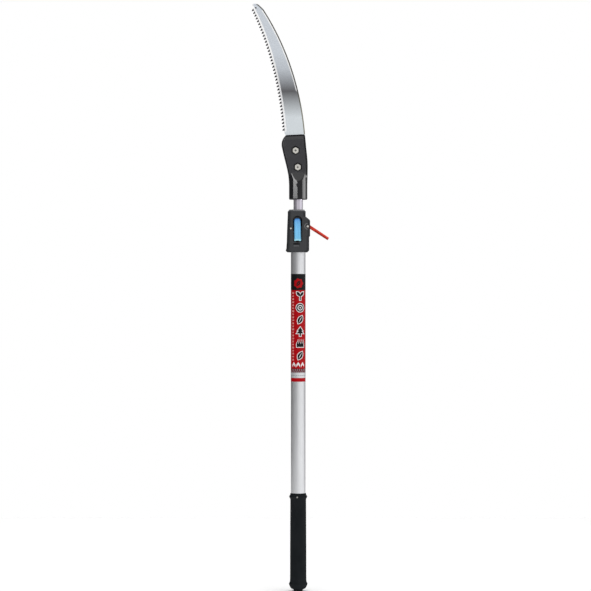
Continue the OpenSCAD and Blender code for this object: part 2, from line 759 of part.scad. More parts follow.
module grip() {
    color(rubber_black) difference() {
        rotate_extrude() grip_outline();
        translate([0, 0, plug_z]) cylinder(h = grip_top_z, r = outer_r);
        rod_y(grip_screw_x, grip_screw_z, -grip_collar_r - over, -outer_r + over, 1.35);
        rod_y(grip_screw_x, grip_screw_z, -grip_collar_r - over, -grip_collar_r + 1.2, 1.95);
    }
}

module grip_screw() {
    color(bright) {
        rod_y(grip_screw_x, grip_screw_z, -grip_collar_r, -grip_collar_r + 1.2, 1.75);
        rod_y(grip_screw_x, grip_screw_z, -grip_collar_r + 1.2, -bore_r + 0.4, 1.3);
    }
}

blade();
head_body();
blade_bolts();
blade_washers();
blade_nuts();
head_screw();
head_screw_nut();
inner_pole();
tail_bush();
tail_rivet();
outer_pole();
tube_end_plug();
lock_front_shell();
lock_back_shell();
guide_bush();
shell_screw();
shell_nut();
lever_pin();
lever_pin_nut();
clamp_lever();
brake_pad();
release_rocker();
rocker_pin();
index_pin();
rocker_spring();
label_sleeve();
grip();
grip_screw();
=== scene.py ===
"""Looks of a telescoping pole saw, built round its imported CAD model.

Shapes are worked out in millimetres in the CAD's frame: the origin at the grip's butt, +Z along the
pole, -Y the front with the rocker, +X the side of the clamp lever. Pieces are scaled to metres last.
"""

import math
from contextlib import contextmanager

import bmesh
import bpy
import numpy as np
from mathutils import Matrix, Vector
from mathutils.geometry import delaunay_2d_cdt


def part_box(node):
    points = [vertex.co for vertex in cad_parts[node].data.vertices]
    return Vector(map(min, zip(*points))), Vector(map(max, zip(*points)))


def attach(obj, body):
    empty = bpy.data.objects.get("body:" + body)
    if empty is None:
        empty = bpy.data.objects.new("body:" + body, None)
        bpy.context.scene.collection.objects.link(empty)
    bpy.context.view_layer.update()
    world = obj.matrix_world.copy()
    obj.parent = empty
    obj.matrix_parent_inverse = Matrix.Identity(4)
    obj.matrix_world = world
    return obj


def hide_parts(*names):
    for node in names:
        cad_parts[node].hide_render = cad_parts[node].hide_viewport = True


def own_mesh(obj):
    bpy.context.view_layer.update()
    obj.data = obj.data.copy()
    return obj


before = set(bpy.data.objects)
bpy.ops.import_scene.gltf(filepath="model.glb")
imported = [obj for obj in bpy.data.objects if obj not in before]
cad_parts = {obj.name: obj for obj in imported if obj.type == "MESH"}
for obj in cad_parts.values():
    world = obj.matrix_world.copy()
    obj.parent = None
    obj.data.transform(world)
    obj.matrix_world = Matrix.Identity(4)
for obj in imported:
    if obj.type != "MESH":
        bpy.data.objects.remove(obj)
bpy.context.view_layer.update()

METRES = 0.001
SEAM = 0.05  # how far a softened skin lies inside the CAD's own surface
WELD = 0.001  # points closer than this are one
OUT = 1  # extra length that takes a cutter clear of a face


def span(node):
    """A node's lowest and highest corners in millimetres."""
    low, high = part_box(node)
    return low / METRES, high / METRES


# ---- mesh tools


@contextmanager
def editing(mesh):
    """A mesh as a bmesh, written back at the end."""
    edit = bmesh.new()
    edit.from_mesh(mesh)
    yield edit
    edit.to_mesh(mesh)
    edit.free()


def weld(edit, distance):
    bmesh.ops.remove_doubles(edit, verts=edit.verts, dist=distance)
    bmesh.ops.dissolve_degenerate(edit, edges=edit.edges, dist=WELD / 2)


def linked(name, data):
    """An object with that data, in the scene."""
    piece = bpy.data.objects.new(name, data)
    bpy.context.scene.collection.objects.link(piece)
    return piece


def object_from(name, vertices, faces):
    """An object with that mesh, in millimetres."""
    mesh = bpy.data.meshes.new(name)
    mesh.from_pydata([tuple(v) for v in vertices], [], faces)
    mesh.validate()
    with editing(mesh) as edit:
        bmesh.ops.recalc_face_normals(edit, faces=edit.faces)
    return linked(name, mesh)


def copy_of(node):
    """A welded copy of a CAD node's mesh, in millimetres."""
    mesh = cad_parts[node].data.copy()
    mesh.materials.clear()
    mesh.transform(Matrix.Scale(1 / METRES, 4))
    with editing(mesh) as edit:
        weld(edit, 2 * WELD)
        bmesh.ops.recalc_face_normals(edit, faces=edit.faces)
    for name in ("custom_normal", "sharp_edge", "sharp_face"):
        if name in mesh.attributes:
            mesh.attributes.remove(mesh.attributes[name])
    return linked("copy_" + node, mesh)


def loft(name, rings):
    """A closed solid through rings of equal length, one after another."""
    count = len(rings[0])
    vertices = [point for ring in rings for point in ring]
    faces = [list(range(count)), [(len(rings) - 1) * count + k for k in reversed(range(count))]]
    for i in range(len(rings) - 1):
        for k in range(count):
            m = (k + 1) % count
            faces.append([i * count + k, i * count + m, (i + 1) * count + m, (i + 1) * count + k])
    return object_from(name, vertices, faces)


def smooth_max(a, b, width):
    """The larger of a and b, with the corner between them rounded over width."""
    near = np.maximum(width - np.abs(a - b), 0) / width
    return np.maximum(a, b) + near * near * width / 4


def smooth_min(a, b, width):
    return -smooth_max(-a, -b, width)


def interpolated(side):
    """The first coordinate of a line of points as a function of the second, which rises."""
    return lambda z: np.interp(z, [p[1] for p in side], [p[0] for p in side])


def stations(low, high, step, end=2.0, fine=0.2):
    """Heights from low to high, close together near both ends."""
    near = np.arange(0, end, fine)
    inner = np.linspace(low + end, high - end, max(2, int((high - low - 2 * end) / step)))
    return [*(low + near), *inner, *(high - near)[::-1]]


def star_loft(name, outside, heights, centre, reach, count=160):
    """A solid from a field that is negative inside: at each height its edge is found along rays."""
    turn = np.linspace(0, 2 * math.pi, count, endpoint=False)
    rings = []
    for z in heights:
        middle_x, middle_y = centre(z)
        near, far = np.zeros(count), np.full(count, float(reach))
        for _ in range(24):
            tried = (near + far) / 2
            out = outside(middle_x + tried * np.cos(turn), middle_y + tried * np.sin(turn), z) > 0
            far, near = np.where(out, tried, far), np.where(out, near, tried)
        points_x, points_y = middle_x + near * np.cos(turn), middle_y + near * np.sin(turn)
        rings.append([(x, y, z) for x, y in zip(points_x, points_y)])
    return loft(name, rings)


def grown(outline, distance):
    """A counter-clockwise outline with each corner moved outwards by distance, or inwards if negative."""
    points, moved = [Vector(p) for p in outline], []
    for i, point in enumerate(points):
        before = (point - points[i - 1]).normalized()
        after = (points[(i + 1) % len(points)] - point).normalized()
        normal = Vector((before.y + after.y, -before.x - after.x))
        moved.append(point + normal * (2 * distance / max(normal.length_squared, 0.6)))
    return moved


def arc(x, z, radius, start, end, count):
    """Points on an arc, angles in degrees."""
    turns = [math.radians(start + (end - start) * i / count) for i in range(count + 1)]
    return [(x + radius * math.cos(a), z + radius * math.sin(a)) for a in turns]


def circle(x, z, radius, count=48):
    return arc(x, z, radius, 0, 360, count)[:-1]


def bar(u0, v0, u1, v1):
    return [(u0, v0), (u1, v0), (u1, v1), (u0, v1)]


def hexagon(x, z, radius):
    """A hexagon with corners up and down."""
    return arc(x, z, radius, 30, 330, 5)


def layered(name, outline, layers):
    """A solid through an outline in X and Z that is grown by a distance at each of (Y, distance)."""
    return loft(name, [[(p.x, y, p.y) for p in grown(outline, distance)] for y, distance in layers])


def quarter(steps=4):
    """Angles through a quarter of a turn."""
    return [math.pi / 2 * i / steps for i in range(steps + 1)]


def plate(name, outline, y0, y1, soft0=0.0, soft1=0.0, steps=4):
    """An outline in X and Z made solid from y0 to y1, with its edges rounded by soft0 and soft1."""
    layers = []
    for y, soft, side in ((y0, soft0, 1), (y1, soft1, -1)):
        turns = quarter(steps) if soft else [0]
        ends = [(y + side * soft * (1 - math.sin(a)), soft * (math.cos(a) - 1)) for a in turns[::-1]]
        layers += ends if side > 0 else ends[::-1]
    return layered(name, outline, layers)


def rod(x, z, y0, y1, radius, soft=0.0):
    """A round rod along Y with a rounded front end."""
    return plate("rod", circle(x, z, radius, 40), y0, y1, soft, 0, 5)


def cross(x, z, y0, y1, reach, width):
    """A cutter for a crossed drive recess."""
    outline = []
    for c, sn in ((1, 0), (0, 1), (-1, 0), (0, -1)):
        arm = [(reach, -width), (reach, width), (width, width)]
        outline += [(x + a * c - b * sn, z + a * sn + b * c) for a, b in arm]
    return plate("cross", outline, y0, y1)


def flare(outline, y_face, radius, depth=1.2):
    """A cutter that rounds the rim of a hole with that outline, in the front face at y_face."""
    layers = [(y_face - 0.5, radius + SEAM)]
    for a in quarter():
        layers.append((y_face + radius * (1 - math.cos(a)), radius * (1 - math.sin(a)) - SEAM))
    layers.append((y_face + radius + depth, -SEAM))
    return layered("flare", outline, layers)


def combine(target, other, operation="DIFFERENCE"):
    """A boolean between two closed solids. The second one is used up."""
    modifier = target.modifiers.new("combine", "BOOLEAN")
    modifier.operation = operation
    modifier.solver = "EXACT"
    modifier.object = other
    graph = bpy.context.evaluated_depsgraph_get()
    result = bpy.data.meshes.new_from_object(target.evaluated_get(graph))
    target.modifiers.clear()
    target.data = result
    bpy.data.objects.remove(other)
    return target


def finished(piece, name, body, node, paint, crease=32):
    """Scales a piece to metres, shades it, paints it and puts it in the place of a CAD node.
    paint is a list of finishes: the first one is for the whole piece, and each other one comes with a
    test of a face's centre and normal, the last that holds going first. With none, the faces have
    their materials already."""
    mesh = piece.data
    with editing(mesh) as edit:
        weld(edit, WELD)
    if paint:
        mesh.materials.clear()
        tests = [test for _, test in paint[1:]]
        for finish in (paint[0], *[finish for finish, _ in paint[1:]]):
            mesh.materials.append(finish.material)
        for face in mesh.polygons:
            hits = [i + 1 for i, test in enumerate(tests) if test(face.center, face.normal)]
            face.material_index = hits[-1] if hits else 0
    mesh.transform(Matrix.Scale(METRES, 4))
    mesh.shade_smooth()
    mesh.set_sharp_from_angle(angle=math.radians(crease))
    weighted = piece.modifiers.new("even_shading", "WEIGHTED_NORMAL")
    weighted.keep_sharp = True
    weighted.weight = 90
    piece.name = mesh.name = name
    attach(piece, body)
    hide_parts(node)


# ---- materials


def ramp(tree, value, stops):
    """A colour ramp over a value: stops are (position, colour)."""
    node = tree.nodes.new("ShaderNodeValToRGB")
    elements = node.color_ramp.elements
    while len(elements) < len(stops):
        elements.new(0.5)
    for element, (position, colour) in zip(elements, stops):
        element.position = position
        element.color = (*colour, 1)
    tree.links.new(value, node.inputs["Fac"])
    return node.outputs["Color"]


class Finish:
    """A procedural material: a Principled shader with a few texture nodes in object space."""

    def __init__(self, name, colour, roughness, **inputs):
        self.material = bpy.data.materials.new(name)
        self.material.use_nodes = True
        self.tree = self.material.node_tree
        self.shader = next(n for n in self.tree.nodes if n.type == "BSDF_PRINCIPLED")
        self.shader.inputs["Base Color"].default_value = (*colour, 1)
        self.shader.inputs["Roughness"].default_value = roughness
        for key, value in inputs.items():
            self.shader.inputs[key.replace("_", " ")].default_value = value
        self.place = self.tree.nodes.new("ShaderNodeTexCoord").outputs["Object"]

    def join(self, a, b):
        self.tree.links.new(a, b)

    def stretched(self, scale):
        """Object coordinates scaled by three factors, in 1/mm."""
        node = self.tree.nodes.new("ShaderNodeMapping")
        node.inputs["Scale"].default_value = [s / METRES for s in scale]
        self.join(self.place, node.inputs["Vector"])
        return node.outputs["Vector"]

    def noise(self, scale, detail=4, roughness=0.55):
        node = self.tree.nodes.new("ShaderNodeTexNoise")
        node.inputs["Scale"].default_value = 1
        node.inputs["Detail"].default_value = detail
        node.inputs["Roughness"].default_value = roughness
        self.join(self.stretched(scale), node.inputs["Vector"])
        return node.outputs["Fac"]

    def cells(self, size):
        node = self.tree.nodes.new("ShaderNodeTexVoronoi")
        node.inputs["Scale"].default_value = 1
        self.join(self.stretched((1 / size,) * 3), node.inputs["Vector"])
        return node.outputs["Distance"]

    def along(self, axis):
        """The object's own X, Y or Z in metres."""
        node = self.tree.nodes.new("ShaderNodeSeparateXYZ")
        self.join(self.place, node.inputs["Vector"])
        return node.outputs[axis]

    def remap(self, value, low, high, to_low=0.0, to_high=1.0):
        node = self.tree.nodes.new("ShaderNodeMapRange")
        for key, number in zip(("From Min", "From Max", "To Min", "To Max"), (low, high, to_low, to_high)):
            node.inputs[key].default_value = number
        self.join(value, node.inputs["Value"])
        return node.outputs["Result"]

    def shades(self, value, *stops):
        return ramp(self.tree, value, stops)

    def times(self, first, second):
        """One colour multiplied by another."""
        node = self.tree.nodes.new("ShaderNodeMix")
        node.data_type = "RGBA"
        node.blend_type = "MULTIPLY"
        node.inputs["Factor"].default_value = 1
        colours = [socket for socket in node.inputs if socket.type == "RGBA"]
        for value, socket in zip((first, second), colours):
            self.join(value, socket)
        return next(socket for socket in node.outputs if socket.type == "RGBA")

    def colour(self, value):
        self.join(value, self.shader.inputs["Base Color"])

    def rough(self, value, low, high):
        self.join(self.remap(value, 0.3, 0.7, low, high), self.shader.inputs["Roughness"])

    def bump(self, value, height, strength=1.0):
        """Relief of that height in millimetres, stacked on any relief before it."""
        node = self.tree.nodes.new("ShaderNodeBump")
        node.inputs["Strength"].default_value = strength
        node.inputs["Distance"].default_value = height * METRES
        self.join(value, node.inputs["Height"])
        normal = self.shader.inputs["Normal"]
        if normal.is_linked:
            self.join(normal.links[0].from_socket, node.inputs["Normal"])
        self.join(node.outputs["Normal"], normal)


def tinted(colour, factor):
    return tuple(min(1, c * factor) for c in colour)


def moulded(name, colour, roughness, grain, relief, specular=0.5):
    """Moulded plastic: a spark-eroded grain, a faint flow tone and uneven gloss."""
    finish = Finish(name, colour, roughness, Specular_IOR_Level=specular)
    flow = finish.noise((0.03, 0.03, 0.06), 3)
    finish.colour(finish.shades(flow, (0.35, tinted(colour, 0.88)), (0.65, tinted(colour, 1.1))))
    pits = finish.noise((1 / grain,) * 3, 3, 0.6)
    finish.rough(pits, max(0.03, roughness - 0.06), min(1, roughness + 0.08))
    finish.bump(pits, relief)
    return finish


def drawn_alloy(name, colour, roughness):
    """Drawn and anodised tube: long fine lines, a little mottling and a few rubbed streaks."""
    finish = Finish(name, colour, roughness, Metallic=1.0)
    lines = finish.noise((3.5, 3.5, 0.012), 5, 0.6)
    mottle = finish.noise((0.05, 0.05, 0.02), 3)
    tone = finish.shades(lines, (0.3, tinted(colour, 0.9)), (0.7, tinted(colour, 1.06)))
    patch = finish.shades(mottle, (0.3, (0.93, 0.93, 0.93)), (0.7, (1, 1, 1)))
    finish.colour(finish.times(tone, patch))
    finish.rough(lines, roughness - 0.05, roughness + 0.07)
    finish.bump(lines, 0.012)
    return finish


def machined(name, colour, roughness):
    """Plated or bare fastener steel with fine turning marks and slight stains."""
    finish = Finish(name, colour, roughness, Metallic=1.0)
    stain = finish.noise((0.5, 0.5, 0.5), 4)
    finish.colour(finish.shades(stain, (0.35, tinted(colour, 0.8)), (0.62, colour)))
    marks = finish.noise((6, 6, 6), 2)
    finish.rough(marks, roughness - 0.08, roughness + 0.1)
    finish.bump(marks, 0.01)
    return finish


blade_z0, blade_z1 = span("head_body")[1].z, span("blade")[1].z


def blade_with_painted_reflection(name, top, band, foot, roughness):
    """Ground saw steel: grinding lines across the blade, and a painted reflection along its height, a tone
    that turns darker in a band and back.
    """
    finish = Finish(name, top, roughness, Metallic=1.0)
    height = finish.remap(finish.along("Z"), blade_z0 * METRES, blade_z1 * METRES)
    # Painted reflection: the dark band between a lighter top and foot stands for the surroundings mirrored
    # in the steel.
    stops = ((0, foot), (0.13, foot), (0.33, band), (0.5, tinted(top, 0.85)), (0.62, top))
    tone = finish.shades(height, *stops)
    lines = finish.noise((0.25, 0.25, 7), 4, 0.6)
    streaks = finish.shades(lines, (0.3, (0.9, 0.9, 0.9)), (0.7, (1, 1, 1)))
    finish.colour(finish.times(tone, streaks))
    finish.rough(lines, roughness - 0.06, roughness + 0.08)
    finish.bump(lines, 0.01)
    return finish


satin_steel = blade_with_painted_reflection("blade_satin", (0.81, 0.863, 0.93), (0.165, 0.165, 0.173), (0.9, 0.96, 1), 0.32)
# The ground strips and the facet by the spine are ground steel painted near white and barely metallic, a
# painted highlight.
ground_steel_glint = blade_with_painted_reflection("blade_ground_glint", (0.97,) * 3, (0.72, 0.72, 0.73), (0.97, 0.97, 0.98), 0.24)
ground_steel_glint.shader.inputs["Metallic"].default_value = 0.15
spine_steel = blade_with_painted_reflection("blade_spine", (0.14, 0.14, 0.13), (0.09, 0.09, 0.08), (0.3, 0.29, 0.24), 0.4)

hardened = Finish("blade_hardened", (0.03, 0.032, 0.036), 0.4, Metallic=0.7)
heat = hardened.noise((0.4, 0.4, 0.4), 4)
hardened.colour(hardened.shades(heat, (0.35, (0.012, 0.013, 0.016)), (0.7, (0.06, 0.055, 0.06))))
hardened.rough(heat, 0.32, 0.5)
hardened.bump(hardened.noise((5, 5, 5), 2), 0.01)

# Painted shade for the pockets round the head's bolts: near black and barely specular.
pocket_painted_shade = moulded("pocket_painted_shade", (0.0012, 0.0012, 0.0014), 0.5, 0.5, 0.01, 0.03)
# Painted shade for the walls of the lock's openings and recesses, darker than the face.
lock_painted_shade = moulded("lock_painted_shade", (0.004, 0.004, 0.005), 0.6, 0.4, 0.035, 0.1)
lock_matt = moulded("lock_matt", (0.0095, 0.0103, 0.0115), 0.55, 0.4, 0.035, 0.15)
# Painted highlight for the scoop's upward-facing slope, lighter than the face.
lock_slope_highlight = moulded("lock_slope_highlight", (0.024, 0.025, 0.027), 0.4, 0.5, 0.02, 0.2)
lock_ring = moulded("lock_ring", (0.07, 0.072, 0.075), 0.45, 0.5, 0.02, 0.2)
rocker_skin = moulded("rocker_skin", (0.17, 0.54, 0.92), 0.33, 0.5, 0.012)
rocker_ends = [corner.z * METRES for corner in span("release_rocker")]
rocker_shade_height = rocker_skin.remap(rocker_skin.along("Z"), *rocker_ends)
# Painted light along the rocker: a pale lip at the bottom as a painted highlight, and a darkening towards
# the top that ends in a dark blue band, painted shade where the top turns into the slot.
rocker_skin.colour(rocker_skin.shades(
    rocker_shade_height, (0, (0.42, 0.84, 1)), (0.05, (0.42, 0.84, 1)), (0.12, (0.2, 0.62, 0.95)),
    (0.5, (0.19, 0.58, 0.95)), (0.8, (0.15, 0.5, 0.9)), (0.92, (0.1, 0.4, 0.92)),
    (0.98, (0.03, 0.17, 0.5)), (1, (0.01, 0.05, 0.2))))
lever_skin = moulded("lever_skin", (0.8, 0.06, 0.035), 0.36, 0.5, 0.012, 0.15)
# The web below the lever's step is a darker red, painted shade under the step.
lever_web_shade = moulded("lever_web_shade", (0.4, 0.02, 0.008), 0.5, 0.4, 0.025, 0.2)
bush_rim = moulded("bush_rim", (0.34, 0.345, 0.36), 0.4, 0.45, 0.02)
nylon = moulded("nylon", (0.075, 0.078, 0.082), 0.45, 0.45, 0.02)
pad_skin = moulded("pad_skin", (0.03, 0.03, 0.032), 0.75, 0.3, 0.05)

outer_alloy = drawn_alloy("outer_alloy_drawn", (0.8, 0.81, 0.83), 0.34)
inner_alloy = drawn_alloy("inner_alloy_anodised", (0.74, 0.7, 0.79), 0.3)
bright_steel = machined("bright_steel_plated", (0.86, 0.84, 0.78), 0.24)
black_steel = machined("black_steel_oxide", (0.05, 0.05, 0.055), 0.42)
dull_steel = machined("dull_steel_plated", (0.42, 0.41, 0.39), 0.42)
spring_steel = machined("spring_steel_drawn", (0.6, 0.61, 0.63), 0.28)

rubber = Finish("grip_rubber_matt", (0.012, 0.014, 0.015), 0.62, Specular_IOR_Level=0.05)
dust = rubber.noise((0.04, 0.04, 0.02), 4)
rubber.colour(rubber.shades(dust, (0.35, (0.009, 0.011, 0.0125)), (0.7, (0.015, 0.017, 0.019))))
pimples = rubber.cells(0.9)
rubber.rough(rubber.noise((1.2, 1.2, 1.2), 3), 0.55, 0.72)
rubber.bump(pimples, 0.05, 0.6)


def ink(name, colour, roughness=0.22, metallic=0.0):
    """Printed film under a clear gloss layer, with a faint print grain."""
    finish = Finish(name, colour, roughness, Metallic=metallic, Specular_IOR_Level=0.15)
    grain = finish.noise((2.5, 2.5, 2.5), 3)
    finish.colour(finish.shades(grain, (0.3, tinted(colour, 0.92)), (0.7, tinted(colour, 1.05))))
    finish.rough(grain, roughness - 0.03, roughness + 0.05)
    finish.bump(finish.noise((0.25, 0.25, 0.25), 2), 0.01)
    return finish


INK_LOOKS = {
    "red": [(0.42, 0.0, 0.004)],
    "deep_red": [(0.16, 0.0, 0.004)],
    "black": [(0.006, 0.006, 0.007)],
    "white": [(0.85, 0.84, 0.84)],
    "pink": [(0.8, 0.36, 0.33)],
    "silver": [(0.72, 0.73, 0.75), 0.3, 0.6],
    "grey": [(0.25, 0.25, 0.27)],
}
INKS = {kind: ink("ink_" + kind, *looks) for kind, looks in INK_LOOKS.items()}


# ---- blade


def cubic(c, t):
    """A point on the cubic curve with control points c."""
    u = 1 - t
    weights = (u**3, 3 * t * u * u, 3 * t * t * u, t**3)
    return Vector([sum(weight * point[k] for weight, point in zip(weights, c)) for k in (0, 1)])


def inward(curve, t):
    """The direction across a curve at t, towards the other edge of the blade."""
    along = (cubic(curve, t + 0.001) - cubic(curve, t - 0.001)).normalized()
    return Vector((-along.y, along.x)) * (1 if curve is TEETH else -1)


SPINE = [(-66.6, 1116.4), (-20.4, 1044.9), (6.3, 961.1), (13.2, 876.6)]
TEETH = [(-90.6, 1116.4), (-57.4, 1050), (-36.3, 966), (-30.2, 882)]
TIP_TOP = [(-74.3, 1123.9), (-77.6, 1126.2), (-80.9, 1127.3), (-84, 1127.3), (-86.8, 1126.6)]
BEAK = [(-88.6, 1125.1), (-86, 1121.8), (-83.4, 1119.4)]
HOOK_SPOT = [Vector(p) for p in ((-83.5, 1119.3), (-82.3, 1118), (-80.6, 1117.7), (-79.7, 1119),
                                 (-80.3, 1120.4), (-82.1, 1120.7))]
TANG = [(12, 868), (8.2, 803), (5.2, 799.2), (0, 797.4), (-7, 799.6), (-10.5, 804.5), (-21.2, 866)]
HEEL = [(-22.6, 872.4), (-25.2, 876.6), (-26.6, 880)]
TOOTH_COUNT = 39
GULLET = 4.5
TOOTH_SHARE = (0.8, 0.76, 0.5, 0.04)  # root, tip, back and far root along one pitch
TOOTH_DEPTH = (1, 0, 0.05, 1)  # and how deep each lies, as a share of the gullet
TEETH_Z0, TEETH_Z1 = 881, 1119  # where the hardened teeth are
BEYOND = -0.1  # how far the edge lines run on past the blade's tip, as a share of the curve
SPINE_BAND = 2.4  # dark edge band along the spine
SPINE_BEVEL = 4.2  # outer limit of the bright facet beside it
BEVEL_Z0, BEVEL_Z1 = 960, 1114.6  # where that facet is ground
GROUND_BAND = 3.2  # bright ground strip inside the gullets
HALF_THICK = ([0, SPINE_BAND, SPINE_BEVEL, 14], [0.36, 0.62, 0.7, 0.66])  # by distance from the spine
SHARPENED = 0.12  # the same at a tooth's sharpened side


def inset_curve(curve, distance, start, end, count):
    """Points beside a curve, towards the other edge of the blade."""
    shares = [start + (end - start) * i / count for i in range(count + 1)]
    return [cubic(curve, t) + inward(curve, t) * distance for t in shares]


def tooth_points(i):
    """Root, tip, back and next root of a tooth that leans towards the handle. Tooth 0 is at the heel."""
    start, width = 1 - (i + 1) / TOOTH_COUNT, 1 / TOOTH_COUNT
    gullet = inward(TEETH, start + width / 2) * GULLET
    places = zip(TOOTH_SHARE, TOOTH_DEPTH)
    return [cubic(TEETH, start + share * width) + gullet * depth for share, depth in places]


def beside(line, distance):
    """Points beside a polyline, to the right of its run."""
    line = [Vector(p) for p in line]
    moved = []
    for before, point, after in zip([line[0], *line], line, [*line[1:], line[-1]]):
        along = (after - before).normalized()
        moved.append(point + Vector((along.y, -along.x)) * distance)
    return moved


def regions(outlines, lines):
    """Points and triangles inside outlines, with lines kept as edges, and the outlines round each one."""
    points, edges, faces = [], [], []
    for outline in outlines:
        first = len(points)
        points += [Vector(p) for p in outline]
        faces.append(list(range(first, len(points))))
    for line in lines:
        first = len(points)
        points += [Vector(p) for p in line]
        edges += [(k, k + 1) for k in range(first, len(points) - 1)]
    made, _, triangles, _, _, inside = delaunay_2d_cdt(points, edges, faces, 1, 1e-5)
    used = sorted({k for triangle in triangles for k in triangle})
    place = {k: i for i, k in enumerate(used)}
    return [made[k] for k in used], [[place[k] for k in triangle] for triangle in triangles], inside


def within(outline, point):
    """Whether a point lies inside a convex, counter-clockwise outline."""
    return all((b - a).cross(point - a) > 0 for a, b in zip(outline, [*outline[1:], outline[0]]))


def distance_to(line, point):
    """Distance from a point to a polyline."""
    best = 1e9
    for a, b in zip(line, line[1:]):
        step = b - a
        share = max(0, min(1, (point - a).dot(step) / step.length_squared))
        best = min(best, (point - a - step * share).length)
    return best


def build_blade():
    teeth = [tooth_points(i) for i in range(TOOTH_COUNT)]
    spine = [cubic(SPINE, i / 40) for i in range(41)]
    tooth_line = [p for tooth in teeth for p in tooth]
    outline = [Vector(p) for p in (*spine, *TANG, *HEEL, *tooth_line, *BEAK[::-1], *TIP_TOP[::-1])][::-1]
    back_edge = [Vector(p) for p in TIP_TOP[1::-1]] + spine
    band = [back_edge[0], *beside(back_edge, SPINE_BAND)]
    bevel = inset_curve(SPINE, SPINE_BEVEL, 0, 1, 44)
    bevel_end = [inset_curve(SPINE, SPINE_BAND - 0.1, 0, 0, 1)[0], bevel[0]]
    ground = inset_curve(TEETH, GULLET + GROUND_BAND, BEYOND, 1, 44)
    roots = inset_curve(TEETH, GULLET, BEYOND, 1, 44)
    middle = [(a + b) / 2 for a, b in zip(bevel, ground)]
    step = [(-24.5, blade_z0 + 6.5), (-4.2, blade_z0 + 7.2), (8.4, blade_z0 + 9)]
    hook = [*HOOK_SPOT, HOOK_SPOT[0]]
    points, triangles, _ = regions([outline], [band, bevel, bevel_end, ground, roots, middle, step, hook])

    def spot(point):
        return tuple(round(c, 2) for c in point)

    lean = {spot(point): i % 2 for i, tooth in enumerate(teeth) for point in tooth[1:3]}
    fronts, backs = [], []
    for point in points:
        half = float(np.interp(distance_to(back_edge, point), *HALF_THICK))
        side = lean.get(spot(point))
        fronts.append((point.x, -(SHARPENED if side == 1 else half), point.y))
        backs.append((point.x, SHARPENED if side == 0 else half, point.y))
    count = len(points)
    faces = [list(t) for t in triangles] + [[count + k for k in reversed(t)] for t in triangles]
    seen = {}
    for t in triangles:
        for a, b in zip(t, [*t[1:], t[0]]):
            seen.setdefault(frozenset((a, b)), []).append((a, b))
    faces += [[b, a, count + a, count + b] for pairs in seen.values() if len(pairs) == 1 for a, b in pairs]
    blade = object_from("blade_rough", fronts + backs, faces)

    def at(centre):
        return Vector((centre.x, centre.z))

    def in_tooth(centre, normal):
        point = at(centre)
        near = min((i / 60 for i in range(-6, 61)), key=lambda t: (cubic(TEETH, t) - point).length)
        depth = (point - cubic(TEETH, near)).dot(inward(TEETH, near))
        return TEETH_Z0 < point.y < TEETH_Z1 and depth < GULLET - SEAM or within(HOOK_SPOT, point)

    def in_spine(centre, normal):
        return distance_to(back_edge, at(centre)) < SPINE_BAND and centre.z > blade_z0 - 8

    def in_bevel(centre, normal):
        near = distance_to(back_edge, at(centre))
        return SPINE_BAND <= near < SPINE_BEVEL and BEVEL_Z0 < centre.z < BEVEL_Z1

    ground_line = inset_curve(TEETH, GULLET + GROUND_BAND / 2, BEYOND, 1, 34)

    def in_ground(centre, normal):
        return distance_to(ground_line, at(centre)) < GROUND_BAND / 2 + 0.2 and centre.z > TEETH_Z0 - 1

    paint = [satin_steel, (ground_steel_glint, in_ground), (ground_steel_glint, in_bevel), (spine_steel, in_spine),
             (hardened, in_tooth)]
    finished(blade, "saw_blade", "saw", "blade", paint, crease=3)


build_blade()


# ---- head

SOCKET_R = 17.6
CHEEK_Y = 11
RAMP_TOP, RAMP_LOW = 803, 785
HEAD_Z0, HEAD_Z1 = span("head_body")[0].z, span("head_body")[1].z
BOLTS = [(-5, 845), (-0.8, 813)]
POCKET_R, BOLT_R, RECESS_R = 8.7, 6.6, 2.7
HEAD_RIM = 3.2
BODY_Z0, BODY_GROWTH = 780, 20  # where the flat body grows out of the socket, and how far up
SOCKET_Z1 = 812
CHEEK_LOW, CHEEK_HIGH = CHEEK_Y - 0.3, CHEEK_Y + 0.25  # how far out the matt cheeks lie
MATT_Z0, RIM_Z0 = RAMP_LOW + 3, RAMP_TOP - 6  # where the cheeks' and the rim's finish starts

left_side = [(-17.6, 751), (-17.6, 779), (-18.1, 790), (-19.1, 798.5), (-21, 808.3), (-23.7, 819.8),
             (-26.7, 831.4), (-29.4, 842.9), *arc(-8.8, 856.5, 23.1, 190, 131, 16), (-22.4, 874.7),
             (-22.4, 880)]
right_side = [(17.6, 751), (17.6, 785), (18, 799), (18.3, 815), (17.9, 826), (16.9, 837), (15.5, 850),
              (14.4, 862), *arc(9.2, 872.4, 4.1, 8, 82, 10), (9.5, 880)]
TOP_X0, TOP_X1, TOP_FALL = -22.4, 9.8, 1.75  # the slanted upper edge falls towards the left


head_left, head_right = interpolated(left_side), interpolated(right_side)


def head_top(x):
    """The head's slanted upper edge."""
    return HEAD_Z1 - SEAM - TOP_FALL * np.clip((TOP_X1 - x) / (TOP_X1 - TOP_X0), 0, 1)


